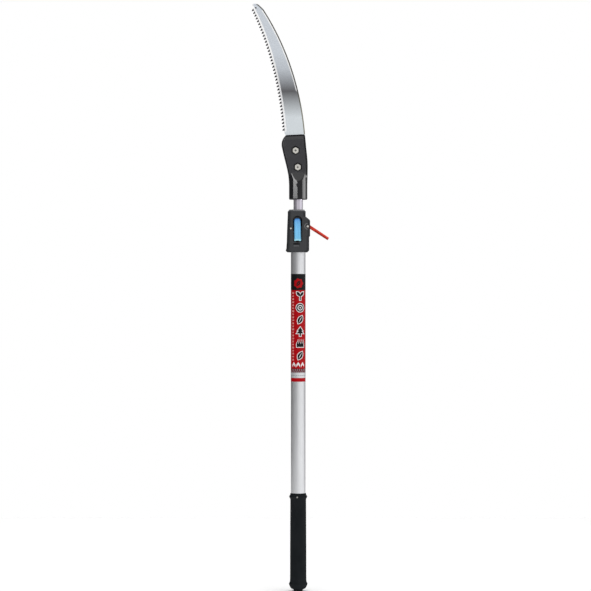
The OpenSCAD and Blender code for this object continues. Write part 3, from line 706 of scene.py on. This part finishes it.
def head_field(x, y, z):
    """Negative inside the head: a round socket that runs up a ramp into flat bevelled cheeks."""
    depth = np.abs(y)
    left, right = head_left(z) + SEAM, head_right(z) - SEAM
    cheek = CHEEK_Y - SEAM
    thick = cheek * np.clip((z - BODY_Z0) / BODY_GROWTH, 0.05, 1) ** 0.7
    top = head_top(x)
    flat = depth - thick
    bevels = ((x - left, 3.0, 0.85, 0.76), (right - x, 2.8, 0.85, 0.76), (top - z, 8.6, 0.5, 0.9))
    for inside, width, slope, scale in bevels:
        flat = smooth_max(flat, (depth - thick + slope * (width - inside)) * scale, 0.25)
    body = smooth_max(flat, smooth_max(left - x, x - right, 1.4), 1.4)
    ramp = cheek + (SOCKET_R - cheek) * (RAMP_TOP - z) / (RAMP_TOP - RAMP_LOW)
    socket = np.hypot(x, y) - SOCKET_R + SEAM
    socket = smooth_max(socket, (depth - np.maximum(ramp, cheek)) * 0.94, 0.7)
    socket = smooth_max(socket, z - SOCKET_Z1, 1.0)
    shape = smooth_min(body, socket, 1.6)
    shape = smooth_max(shape, z - top, 1.4)
    return smooth_max(shape, HEAD_Z0 + SEAM - z, 1.6)


def head_centre(z):
    return (float(head_left(z) + head_right(z)) / 2, 0)


def head_plastic(name, dark, light, roughness, specular):
    """Black plastic with a faint flow tone and a fine skin."""
    finish = Finish(name, dark, roughness, Specular_IOR_Level=specular)
    finish.colour(finish.shades(finish.noise((0.03, 0.03, 0.06), 3), (0.35, dark), (0.65, light)))
    finish.bump(finish.noise((1.6, 1.6, 1.6), 3, 0.6), 0.008)
    return finish


head_gloss = head_plastic("head_gloss", (0.0014, 0.0014, 0.0018), (0.0018, 0.0018, 0.0022), 0.13, 0.3)
head_matt = head_plastic("head_matt", (0.0073, 0.0073, 0.0083), (0.0089, 0.0089, 0.0102), 0.42, 0.1)
# Painted shade for the head's rim: near black and barely specular, so the top and right edge stay dark.
head_rim_shade = head_plastic("head_rim_shade", (0.0011, 0.0011, 0.0013), (0.0013, 0.0013, 0.0015), 0.5, 0.03)


def on_cheek(centre, normal):
    return CHEEK_LOW < abs(centre.y) < CHEEK_HIGH and centre.z > MATT_Z0


def on_shaded_rim(centre, normal):
    """The edge along the head's top and its right side, painted deep black as painted shade where the
    surface turns away.
    """
    right = centre.z > RIM_Z0 and head_right(centre.z) - centre.x < HEAD_RIM
    return right or head_top(centre.x) - centre.z < HEAD_RIM


def score_head(head):
    """Cuts edges into the head where its cheeks and its rim end, so that finishes meet on true lines."""
    with editing(head.data) as edit:
        def cut(place, normal, low=-math.inf, high=math.inf):
            faces = [f for f in edit.faces if low < f.calc_center_median().z < high]
            parts = [*faces, *{e for f in faces for e in f.edges}, *{v for f in faces for v in f.verts}]
            bmesh.ops.bisect_plane(edit, geom=parts, dist=1e-4, plane_co=place, plane_no=normal)

        def cut_along(start, end, low, high):
            cut(start, (end - start).cross(Vector((0, 1, 0))).normalized(), low, high)

        for y in (CHEEK_LOW, CHEEK_HIGH):
            cut((0, y, 0), (0, 1, 0))
            cut((0, -y, 0), (0, 1, 0))
        cut((0, 0, MATT_Z0), (0, 0, 1))
        ends = [Vector((x, 0, float(head_top(x)) - HEAD_RIM)) for x in (TOP_X0, TOP_X1)]
        cut_along(*ends, HEAD_Z1 - 12, math.inf)
        heights = [RIM_Z0, *[z for _, z in right_side if RIM_Z0 < z < HEAD_Z1], HEAD_Z1]
        for z in heights[:-1]:
            cut((0, 0, z), (0, 0, 1))
        corners = [Vector((float(head_right(z)) - HEAD_RIM, 0, z)) for z in heights]
        for start, end in zip(corners, corners[1:]):
            cut_along(start, end, start.z, end.z)


def from_bolt(centre):
    """How far a point is from the axis of the nearest bolt."""
    return min(math.hypot(centre.x - x, centre.z - z) for x, z in BOLTS)


def build_head():
    heights = stations(HEAD_Z0 + SEAM * 2, HEAD_Z1 - SEAM * 2, 1.0)
    heights = sorted({*heights, *np.linspace(871.6, 875.8, 22)})
    skin = star_loft("head_skin", head_field, heights, head_centre, 40, 200)
    head = combine(copy_of("head_body"), skin, "INTERSECT")
    for x, z in BOLTS:
        head = combine(head, flare(hexagon(x, z, POCKET_R), -CHEEK_Y + SEAM, 0.45))

    # The pockets round the bolts are painted black as painted shade.
    def in_shaded_pocket(centre, normal):
        return from_bolt(centre) < POCKET_R + 0.3 and centre.z > RIM_Z0 and abs(centre.y) < CHEEK_LOW

    score_head(head)
    paint = [head_gloss, (head_matt, on_cheek), (head_rim_shade, on_shaded_rim), (pocket_painted_shade, in_shaded_pocket)]
    finished(head, "head_moulding", "saw", "head_body", paint, crease=24)


build_head()


def build_bolts():
    """Hex bolts with chamfered corners and a crossed recess, on the CAD's own shanks."""
    low, high = span("blade_bolts")
    skins = []
    for x, z in BOLTS:
        skin = plate("skin", hexagon(x, z, BOLT_R - SEAM), low.y + SEAM, high.y + OUT, 0.5)
        dome = plate("dome", circle(x, z, BOLT_R + 0.15), low.y + SEAM / 2, high.y + 2 * OUT, 1.0)
        skins.append(combine(skin, dome, "INTERSECT"))
    bolts = combine(copy_of("blade_bolts"), combine(*skins, "UNION"), "INTERSECT")

    def in_shaded_recess(centre, normal):
        return from_bolt(centre) < RECESS_R and low.y + 0.3 < centre.y < low.y + 2

    # The crossed recess is painted in black steel as painted shade.
    paint = [bright_steel, (black_steel, in_shaded_recess)]
    finished(bolts, "bolt_pair", "saw", "blade_bolts", paint, crease=28)


build_bolts()


# ---- lock

LOCK_Z0, LOCK_Z1 = span("lock_front_shell")[0].z, span("lock_front_shell")[1].z
LOCK_FRONT, LOCK_BACK = span("lock_front_shell")[0].y, span("lock_back_shell")[1].y
LOCK_CORNER = 7
lock_left_side = [(-20.4, 650), (-23.8, 652.6), (-23.8, 654), (-22.8, 656.6), (-22, 670), (-21.4, 691),
                  (-20.2, 720), (-20, 730)]
lock_right_side = [(17.4, 650), (21, 653.6), (21, 679.6), (22.8, 681.6), *arc(18.8, 709.4, 4, 0, 50, 8),
                   *arc(19.3, 720.7, 5, 230, 180, 10), (14.3, 730)]
lock_left, lock_right = interpolated(lock_left_side), interpolated(lock_right_side)


def lock_field(x, y, z):
    """Negative inside the lock: a round-cornered body with an ear on the lever's side."""
    left, right = lock_left(z) + SEAM, lock_right(z) - SEAM
    middle_x, half_x = (left + right) / 2, (right - left) / 2 - LOCK_CORNER
    middle_y, half_y = (LOCK_FRONT + LOCK_BACK) / 2, (LOCK_BACK - LOCK_FRONT) / 2 - SEAM - LOCK_CORNER
    over_x = np.maximum(np.abs(x - middle_x) - half_x, 0)
    over_y = np.maximum(np.abs(y - middle_y) - half_y, 0)
    plan = np.hypot(over_x, over_y) - LOCK_CORNER
    ends = np.abs(z - (LOCK_Z0 + LOCK_Z1) / 2) - (LOCK_Z1 - LOCK_Z0) / 2 + SEAM
    return smooth_max(plan, ends, 1.0)


def lock_skin():
    heights = sorted({*stations(LOCK_Z0 + SEAM * 2, LOCK_Z1 - SEAM * 2, 2.0), *np.linspace(651, 657, 12),
                      *np.linspace(679, 682.5, 10), *np.linspace(708, 722, 26)})
    return star_loft("lock_skin", lock_field, heights, lambda z: (0, -1.5), 40, 176)


ROCKER_X = (span("release_rocker")[0].x + span("release_rocker")[1].x) / 2
SLOT_R, SLOT_TOP, SLOT_LOW = 8.5, 718.8, 670
SLOT = [(ROCKER_X - SLOT_R, SLOT_LOW), (ROCKER_X + SLOT_R, SLOT_LOW),
        *arc(ROCKER_X, SLOT_TOP - SLOT_R, SLOT_R, 0, 180, 24)]
SHELL_SCREW = (-14.1, 695.4)
LEVER_PIVOT = (18, 699.3)
SCOOP_X, SCOOP_HALF, SCOOP_DEPTH = -3.4, 5.5, 3.3
SCOOP_Z0, SCOOP_Z1 = 660.5, 666.7
WALL_Y, SHALLOW_Y = LOCK_FRONT + 0.3, LOCK_FRONT + 1.9  # below the face, and the deepest shallow recess


def scoop_field(x, y, z):
    """Negative inside the thumb scoop: a steep upper wall, and a slope that runs out below."""
    floor = LOCK_FRONT + SCOOP_DEPTH * (z - SCOOP_Z0) / (SCOOP_Z1 - SCOOP_Z0)
    pocket = smooth_max(y - floor, np.abs(x - SCOOP_X) - SCOOP_HALF - 0.3, 1.6)
    return smooth_max(pocket, np.maximum(SCOOP_Z0 - 0.3 - z, z - SCOOP_Z1 - 0.35), 0.5)


def on_lock_painted_shade(centre, normal):
    """The walls of the front's openings and recesses, painted darker as painted shade where little light
    falls.
    """
    hole = min(math.hypot(centre.x - x, centre.z - z) for x, z in (SHELL_SCREW, LEVER_PIVOT)) < 3
    inner = (hole or abs(centre.x - ROCKER_X) < SLOT_R + 1) and LOCK_Z0 + 1 < centre.z < LOCK_Z1 - 1
    wall = abs(normal.y) < 0.6 and WALL_Y < centre.y < -2
    deep = normal.y < -0.6 and centre.y > SHALLOW_Y and centre.z < SLOT_LOW + 1.5
    return inner and (wall or deep)


def on_slope_highlight(centre, normal):
    """The scoop's lower slope, painted lighter as a painted highlight where it faces up to the light."""
    slope = SCOOP_Z0 - 0.5 < centre.z < SCOOP_Z1 and abs(centre.x - SCOOP_X) < SCOOP_HALF + 0.5
    return normal.y < -0.5 and centre.y < SHALLOW_Y and slope and normal.z > 0.2


def on_ring(centre, normal):
    """The floor of the groove round the lever's pin."""
    dx, dz = centre.x - LEVER_PIVOT[0], centre.z - LEVER_PIVOT[1]
    near = 4.9 < math.hypot(dx, dz) < 6.2 and dx < 0
    return near and normal.y < -0.5 and WALL_Y < centre.y < SHALLOW_Y


def build_lock():
    front = combine(copy_of("lock_front_shell"), lock_skin(), "INTERSECT")
    face = LOCK_FRONT + SEAM
    front = combine(front, flare(SLOT, face, 0.8))
    front = combine(front, flare(circle(*SHELL_SCREW, 2.4), face, 0.45, 0.1))
    heights = stations(SCOOP_Z0 - 0.25, SCOOP_Z1 + 0.3, 0.4, 1.0, 0.12)
    scoop = star_loft("scoop", scoop_field, heights, lambda z: (SCOOP_X, LOCK_FRONT - 1.5), 12, 72)
    front = combine(front, scoop)
    front = combine(front, flare(circle(*LEVER_PIVOT, 2.7), face, 0.5, 0.4))
    back = combine(copy_of("lock_back_shell"), lock_skin(), "INTERSECT")
    paint = [lock_matt, (lock_painted_shade, on_lock_painted_shade), (lock_slope_highlight, on_slope_highlight), (lock_ring, on_ring)]
    finished(front, "lock_front", "handle", "lock_front_shell", paint, crease=30)
    finished(back, "lock_back", "handle", "lock_back_shell", paint, crease=30)


def build_pins():
    """The lock's screw and the lever's pin, with domed ends."""
    low, high = span("shell_screw")
    dome = rod(*SHELL_SCREW, low.y + SEAM, high.y + OUT, 2.05, 0.7)
    screw = combine(copy_of("shell_screw"), dome, "INTERSECT")
    finished(screw, "lock_screw", "handle", "shell_screw", [bright_steel])
    low, high = span("lever_pin")
    pin = rod(*LEVER_PIVOT, low.y, high.y, (high.x - low.x) / 2, 0.8)
    finished(pin, "lever_pin_domed", "handle", "lever_pin", [bright_steel])


build_pins()
build_lock()


# ---- rocker

rocker_face = interpolated([(-22.55, 671.1), (-22.55, 673.4), (-21.3, 676.5), (-20.6, 680), (-20.5, 686),
                            (-20.7, 694), (-20.4, 701), (-19.7, 708), (-18.6, 713), (-16.9, 715.6)])
ROCKER_HALF = (span("release_rocker")[1].x - span("release_rocker")[0].x) / 2


def rocker_field(x, y, z):
    """Negative inside the rocker: rounded flanks and a shallow channel down its face."""
    middle = ROCKER_X + 0.3 - 0.6 * (z - 671) / 44
    half = ROCKER_HALF - SEAM - 0.32
    across = (x - middle) / half
    channel = 0.9 * np.exp(-((across / 0.36) ** 2))
    flank = 1.9 * np.abs(across) ** 4
    front = rocker_face(z) + SEAM + channel + flank - y
    sides = np.abs(x - middle) - half
    low, high = span("release_rocker")[0].z, span("release_rocker")[1].z
    top = np.hypot(x - middle, np.maximum(z - high + half + SEAM, 0)) - half
    shape = smooth_max(front, smooth_max(sides, top, 0.4), 1.8)
    shape = smooth_max(shape, low + SEAM - z, 1.0)
    return np.maximum(shape, y + 13.0)


def build_rocker():
    low, high = span("release_rocker")
    heights = stations(low.z + 2 * SEAM, high.z - 2 * SEAM, 0.8)
    skin = star_loft("rocker_skin", rocker_field, heights, lambda z: (ROCKER_X, -16.0), 20)
    rocker = combine(copy_of("release_rocker"), skin, "INTERSECT")
    finished(rocker, "rocker", "rocker", "release_rocker", [rocker_skin])


build_rocker()


def build_spring():
    """The rocker's spring, a copy of the CAD's coil with its own mesh."""
    coil = copy_of("rocker_spring")
    finished(coil, "spring_coil", "handle", "rocker_spring", [spring_steel])
    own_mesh(coil)


build_spring()


# ---- label

LABEL_R = span("label_sleeve")[1].x
LABEL_Z0, LABEL_Z1 = span("label_sleeve")[0].z, span("label_sleeve")[1].z
HALF_TURN = math.pi * LABEL_R
# The first sign and the first dash, across and down from the label's top, and the pitch to the next
SIGN_U, SIGN_TOP, SIGN_PITCH = 4, 41.8, 22.9
DASH_U, DASH_TOP, DASH_PITCH = -10.9, 36.5, 5.8


def leaf(u, v, length, width, turn):
    """A pointed leaf outline."""
    side = [(length * (i / 8 - 0.5), width / 2 * math.sin(math.pi * i / 8) ** 0.8) for i in range(1, 8)]
    points = [(-length / 2, 0), *[(a, -b) for a, b in side], (length / 2, 0), *side[::-1]]
    c, s = math.cos(math.radians(turn)), math.sin(math.radians(turn))
    return [(u + a * c - b * s, v + a * s + b * c) for a, b in points]


def sign(kind, u, v):
    """Outlines of one plain garden sign, about 15 mm wide and 18 mm tall: leaves, trees, logs and teeth."""
    if kind == "twig":
        return [bar(u - 1.1, v - 8.5, u + 1.1, v + 2), leaf(u - 3.6, v + 3.4, 11, 5.6, 130),
                leaf(u + 3.6, v + 3.4, 11, 5.6, 50)]
    if kind == "log":
        return [circle(u, v, 7.8, 32)]
    if kind == "tree":
        return [[(u - 7.2, v - 3.5), (u + 7.2, v - 3.5), (u, v + 4.6)],
                [(u - 5.4, v + 1.6), (u + 5.4, v + 1.6), (u, v + 8.8)],
                bar(u - 1.5, v - 8.6, u + 1.5, v - 3)]
    if kind == "teeth":
        steps = [p for k in range(4) for p in ((u - 7 + 3.5 * k, v - 1), (u - 4.2 + 3.5 * k, v + 7.4))]
        return [[(u - 7, v - 6.5), (u + 7.4, v - 6.5), (u + 7.4, v - 1), *steps[::-1]]]
    return [leaf(u, v, 17.5, 9.5, 60)]


def label_layers():
    """(ink, outline) pairs, each painted over those before it."""
    layers = []

    def add(kind, *outlines):
        layers.extend((kind, outline) for outline in outlines)

    def band(kind, low, high):
        add(kind, bar(-HALF_TURN, low, HALF_TURN, high))

    band("red", LABEL_Z0, LABEL_Z1)
    band("black", LABEL_Z1 - 31, LABEL_Z1)
    band("deep_red", LABEL_Z0 + 17.5, LABEL_Z0 + 25.3)
    band("silver", LABEL_Z0 + 7.2, LABEL_Z0 + 17.5)

    u, v, pitch = 0.6, LABEL_Z1 - 18, 360 / 14
    cogs = [arc(u, v, (9.6, 8.3)[k % 2], pitch * (k - 0.3), pitch * (k + 0.3), 2) for k in range(14)]
    add("red", [p for cog in cogs for p in cog])
    add("black", leaf(u, v, 12.5, 6.4, 55))
    add("red", leaf(u, v, 9.5, 0.9, 55))

    for i, kind in enumerate(["twig", "log", "leaf", "tree", "teeth", "leaf"]):
        u, v = SIGN_U, LABEL_Z1 - SIGN_TOP - SIGN_PITCH * i
        outlines = sign(kind, u, v)
        add("white", *[grown(outline, 1.2) for outline in outlines])
        add("black", *outlines)
        if kind == "log":
            add("white", circle(u, v, 5.3, 28))
            add("black", circle(u, v, 3.7, 24))
            add("white", circle(u, v, 1.4, 16))
        if kind == "leaf":
            add("white", leaf(u, v, 13, 1.2, 60))

    for i in range(23):
        tall, wide = (3.4, 2.6, 3.6, 3.0)[i % 4], (4.6, 3.4, 4.0)[i % 3]
        v = LABEL_Z1 - DASH_TOP - DASH_PITCH * i
        add("pink", bar(DASH_U - wide / 2, v - tall / 2, DASH_U + wide / 2, v + tall / 2))
        add("red", bar(DASH_U - 0.7, v - 0.5, DASH_U + 0.3, v + tall))

    for i in range(3):
        u, v, half = -9 + 9 * i, LABEL_Z0 + 27.5, 3.6
        add("white", [(u - half, v), (u, v + 5.5), (u + half, v), (u + half, v + 5), (u, v + 10.5),
                      (u - half, v + 5)])

    for i in range(9):
        u, low, high = -16 + 4 * i, LABEL_Z0 + 18, LABEL_Z0 + 24.5
        add("grey", [(u, low), (u + 1.6, low), (u + 4, high), (u + 2.4, high)])
        add("grey", bar(u, LABEL_Z0 + 11.4, u + 2.6, LABEL_Z0 + 12.4))
    return layers


def build_label():
    layers = label_layers()
    columns = [-HALF_TURN + 2 * HALF_TURN * k / 72 for k in range(73)]
    lines = [[(u, LABEL_Z0), (u, LABEL_Z1)] for u in columns]
    points, triangles, inside = regions([outline for _, outline in layers], lines)
    names = list(INKS)
    around = [(p.x / LABEL_R, p.y) for p in points]
    vertices = [(LABEL_R * math.sin(turn), -LABEL_R * math.cos(turn), v) for turn, v in around]
    label = object_from("label_rough", vertices, triangles)
    for kind in names:
        label.data.materials.append(INKS[kind].material)
    for face, found in zip(label.data.polygons, inside):
        face.material_index = names.index(layers[max(found)][0])
    film = label.modifiers.new("film", "SOLIDIFY")
    film.thickness = 0.1 * METRES
    film.offset = -1
    finished(label, "label_film", "handle", "label_sleeve", [], crease=40)


build_label()


# ---- grip

GRIP_PROFILE = [(7.9, 0), (8.8, 0.9), (8.9, 2.8), (10.4, 3.6), (13.3, 4.8), (14.6, 6.2), (15.7, 8.2),
                (16.4, 9.9), (17.2, 11.7), (17.8, 13), (17.8, 14.4), (17.2, 15.8), (16.3, 17.5),
                (15.7, 19.4), (15.65, 40), (15.6, 80), (15.35, 130), (15.1, 172), (15.1, 175),
                (15.4, 177.2), (16.7, 179.5), (17.3, 180.9), (17.3, 181.9), (16.4, 183.4), (15.4, 185),
                (14.9, 187.2), (14.5, 188)]
GRIP_SCREW = (-1.9, 181)
SCREW_FRONT, SCREW_SEAT, SCREW_END = -17.2, -16.1, -12.2
GRIP_GAP = 0.02  # between the rubber and the pole
GRIP_SIDES = 112


def eased(line):
    """Cuts a polyline's corners twice, which rounds them."""
    for _ in range(2):
        cuts = [(a, b, share) for a, b in zip(line, line[1:]) for share in (0.25, 0.75)]
        points = [tuple(p + (q - p) * share for p, q in zip(a, b)) for a, b, share in cuts]
        line = [line[0], *points[1:-1], line[-1]]
    return line


def build_grip():
    pole = span("outer_pole")
    bore = pole[1].x + GRIP_GAP
    profile = [*eased(GRIP_PROFILE), (bore, span("grip")[1].z - SEAM), (bore, pole[0].z + GRIP_GAP)]
    turns = [2 * math.pi * k / GRIP_SIDES for k in range(GRIP_SIDES)]
    grip = loft("grip_rough", [[(r * math.cos(a), r * math.sin(a), z) for a in turns] for r, z in profile])
    x, z = GRIP_SCREW
    grip = combine(grip, rod(x, z, -20, SCREW_SEAT, 1.95))
    grip = combine(grip, rod(x, z, -18, -13, 1.33))
    finished(grip, "grip_sleeve", "handle", "grip", [rubber], crease=36)
    head = rod(x, z, SCREW_FRONT, SCREW_SEAT, 1.75, 0.5)
    screw = combine(head, rod(x, z, SCREW_SEAT - 0.5, SCREW_END, 1.3), "UNION")
    screw = combine(screw, cross(x, z, SCREW_FRONT - 0.8, SCREW_FRONT + 0.5, 1.0, 0.22))
    finished(screw, "grip_screw_head", "handle", "grip_screw", [dull_steel])


build_grip()


# ---- lever

LEVER_TURN = math.radians(-33.1)
LEVER_LENGTH, LEVER_OFFSET = 46.5, 1.9
LEVER_HALF = span("clamp_lever")[1].y
LEVER_COS, LEVER_SIN = math.cos(LEVER_TURN), math.sin(LEVER_TURN)
HUB_R = 6.4
WEB_START, WEB_SLANT = 15.5, 0.7  # where the thinner web starts, and how much its end leans
WEB_TOP, WEB_HALF = 1.7, 3.8


def on_lever(a, b):
    """X and Z of a point of the lever, a along its arm and b across."""
    return LEVER_PIVOT[0] + a * LEVER_COS - b * LEVER_SIN, LEVER_PIVOT[1] + a * LEVER_SIN + b * LEVER_COS


def build_lever():
    root, root_half = -1.2, 3.1
    tip, tip_half = LEVER_LENGTH - SEAM, 2.7
    corners = [(root, LEVER_OFFSET - root_half), (tip, LEVER_OFFSET - tip_half),
               (tip, LEVER_OFFSET + tip_half), (3, LEVER_OFFSET + root_half), (root, 3.4)]
    side = LEVER_HALF - SEAM
    skin = plate("arm", grown([on_lever(*corner) for corner in corners], -SEAM), -side, side, 0.8, 0.8)
    hub = plate("hub", circle(*LEVER_PIVOT, HUB_R), -side + 0.03, side - 0.03, 0.5, 0.5)
    lever = combine(copy_of("clamp_lever"), combine(skin, hub, "UNION"), "INTERSECT")
    corners = [(WEB_START, -4), (50, -4), (50, WEB_TOP), (WEB_START + WEB_SLANT, WEB_TOP)]
    step = [on_lever(*corner) for corner in corners]
    for y0, y1 in ((-7, -WEB_HALF), (WEB_HALF, 7)):
        lever = combine(lever, plate("step", step, y0, y1))

    def in_shaded_web(centre, normal):
        dx, dz = centre.x - LEVER_PIVOT[0], centre.z - LEVER_PIVOT[1]
        along, across = dx * LEVER_COS + dz * LEVER_SIN, dz * LEVER_COS - dx * LEVER_SIN
        return along > WEB_START + 0.1 and across < WEB_TOP + 0.02

    finished(lever, "lever_arm", "lever", "clamp_lever", [lever_skin, (lever_web_shade, in_shaded_web)])


build_lever()


# ---- carried-over CAD nodes

NODES_OF_FINISH = (
    (bright_steel, ("blade_washers", "blade_nuts", "tail_rivet", "index_pin", "shell_nut",
                    "lever_pin_nut")),
    (black_steel, ("rocker_pin", "head_screw", "head_screw_nut")),
    (inner_alloy, ("inner_pole",)),
    (outer_alloy, ("outer_pole",)),
    (nylon, ("tail_bush", "tube_end_plug")),
    (bush_rim, ("guide_bush",)),
    (pad_skin, ("brake_pad",)),
)
for finish, nodes in NODES_OF_FINISH:
    for node in nodes:
        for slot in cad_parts[node].material_slots:
            slot.material = finish.material


# ---- studio

CAMERA_LENS, SENSOR = 135, 36
FRAME_MM = 1.92 * 591  # height of the view at the pole's axis
CAMERA_X, CAMERA_Z = -0.0052, 0.5671
FLOOR_HALF, FLOOR_Z = 1.4, -0.0002
LOCK_PIECES = ("lock_front", "lock_back")
# Each lamp: place, target, size, power, and the pieces that it lights
LAMPS = {
    "softbox_right": ((2.17, -0.38, 0.75), (0, 0, 0.75), (2.0, 2.6), 125, ("head_moulding",)),
    "softbox_left": ((-1.35, -1.73, 1.68), (0, 0, 1.13), (2.4, 1.7), 185, ("head_moulding",)),
    "softbox_front": ((0.3, -2.6, 1.5), (0, 0, 0.69), (1.2, 1.2), 88, LOCK_PIECES),
    "fill": ((-0.9, -2.2, 1.6), (0, 0, 0.6), (1.6, 1.6), 9,
             ("rocker", "lever_arm", "label_film", "grip_sleeve")),
    "overhead": ((0, 0, 3), (0, 0, 0), (6, 6), 180, ("floor", "head_moulding", "saw_blade", *LOCK_PIECES)),
}
# Brightness of the surroundings by direction, from -X to +X and from -Y to +Y
SIDES = ((0, 0.25), (0.25, 0.35), (0.5, 0.7), (0.75, 0.93), (1, 0.96))
DEPTH = ((0, 1), (0.56, 1), (0.7, 0.45), (1, 0.42))


def build_camera():
    camera = linked("camera", bpy.data.cameras.new("camera"))
    camera.data.lens = CAMERA_LENS
    camera.data.sensor_width = SENSOR
    camera.data.clip_end = 50
    camera.location = (CAMERA_X, -FRAME_MM * METRES * CAMERA_LENS / SENSOR, CAMERA_Z)
    camera.rotation_euler = (math.pi / 2, 0, 0)
    bpy.context.scene.camera = camera


def build_floor():
    corners = [(x, y, 0) for x, y in bar(-FLOOR_HALF, -FLOOR_HALF, FLOOR_HALF, FLOOR_HALF)]
    floor = object_from("floor", corners, [range(4)])
    floor.location.z = FLOOR_Z
    pale = Finish("floor_pale", (0.78,) * 3, 0.8)
    cloud = pale.noise((0.002, 0.002, 0.002), 2)
    pale.colour(pale.shades(cloud, (0.3, (0.77,) * 3), (0.7, (0.79,) * 3)))
    floor.data.materials.append(pale.material)


def build_lamps():
    for name, (place, target, size, power, pieces) in LAMPS.items():
        light = bpy.data.lights.new(name, "AREA")
        light.shape = "RECTANGLE"
        light.size, light.size_y = size
        light.energy = power
        lamp = linked(name, light)
        lamp.location = place
        lamp.rotation_euler = (Vector(target) - Vector(place)).to_track_quat("-Z", "Y").to_euler()
        lit = bpy.data.collections.new("lit_by_" + name)
        for piece in pieces:
            lit.objects.link(bpy.data.objects[piece])
        lamp.light_linking.receiver_collection = lit


def build_world():
    """Grey surroundings that reflections see, behind a white that the camera sees."""
    world = bpy.data.worlds.new("studio")
    world.use_nodes = True
    tree = world.node_tree

    def worked_out(operation, *values):
        node = tree.nodes.new("ShaderNodeMath")
        node.operation = operation
        for value, socket in zip(values, node.inputs):
            if isinstance(value, float):
                socket.default_value = value
            else:
                tree.links.new(value, socket)
        return node.outputs["Value"]

    split = tree.nodes.new("ShaderNodeSeparateXYZ")
    tree.links.new(tree.nodes.new("ShaderNodeTexCoord").outputs["Generated"], split.inputs["Vector"])
    shades = []
    for axis, stops in (("X", SIDES), ("Y", DEPTH)):
        share = worked_out("MULTIPLY_ADD", split.outputs[axis], 0.5, 0.5)
        shades.append(ramp(tree, share, [(position, (value,) * 3) for position, value in stops]))
    from_camera = tree.nodes.new("ShaderNodeLightPath").outputs["Is Camera Ray"]
    backdrop = tree.nodes["Background"]
    backdrop.inputs["Color"].default_value = (1, 1, 1, 1)
    strength = worked_out("MAXIMUM", worked_out("MULTIPLY", *shades), from_camera)
    tree.links.new(strength, backdrop.inputs["Strength"])
    bpy.context.scene.world = world
    bpy.context.scene.view_settings.view_transform = "Standard"


build_camera()
build_floor()
build_lamps()
build_world()
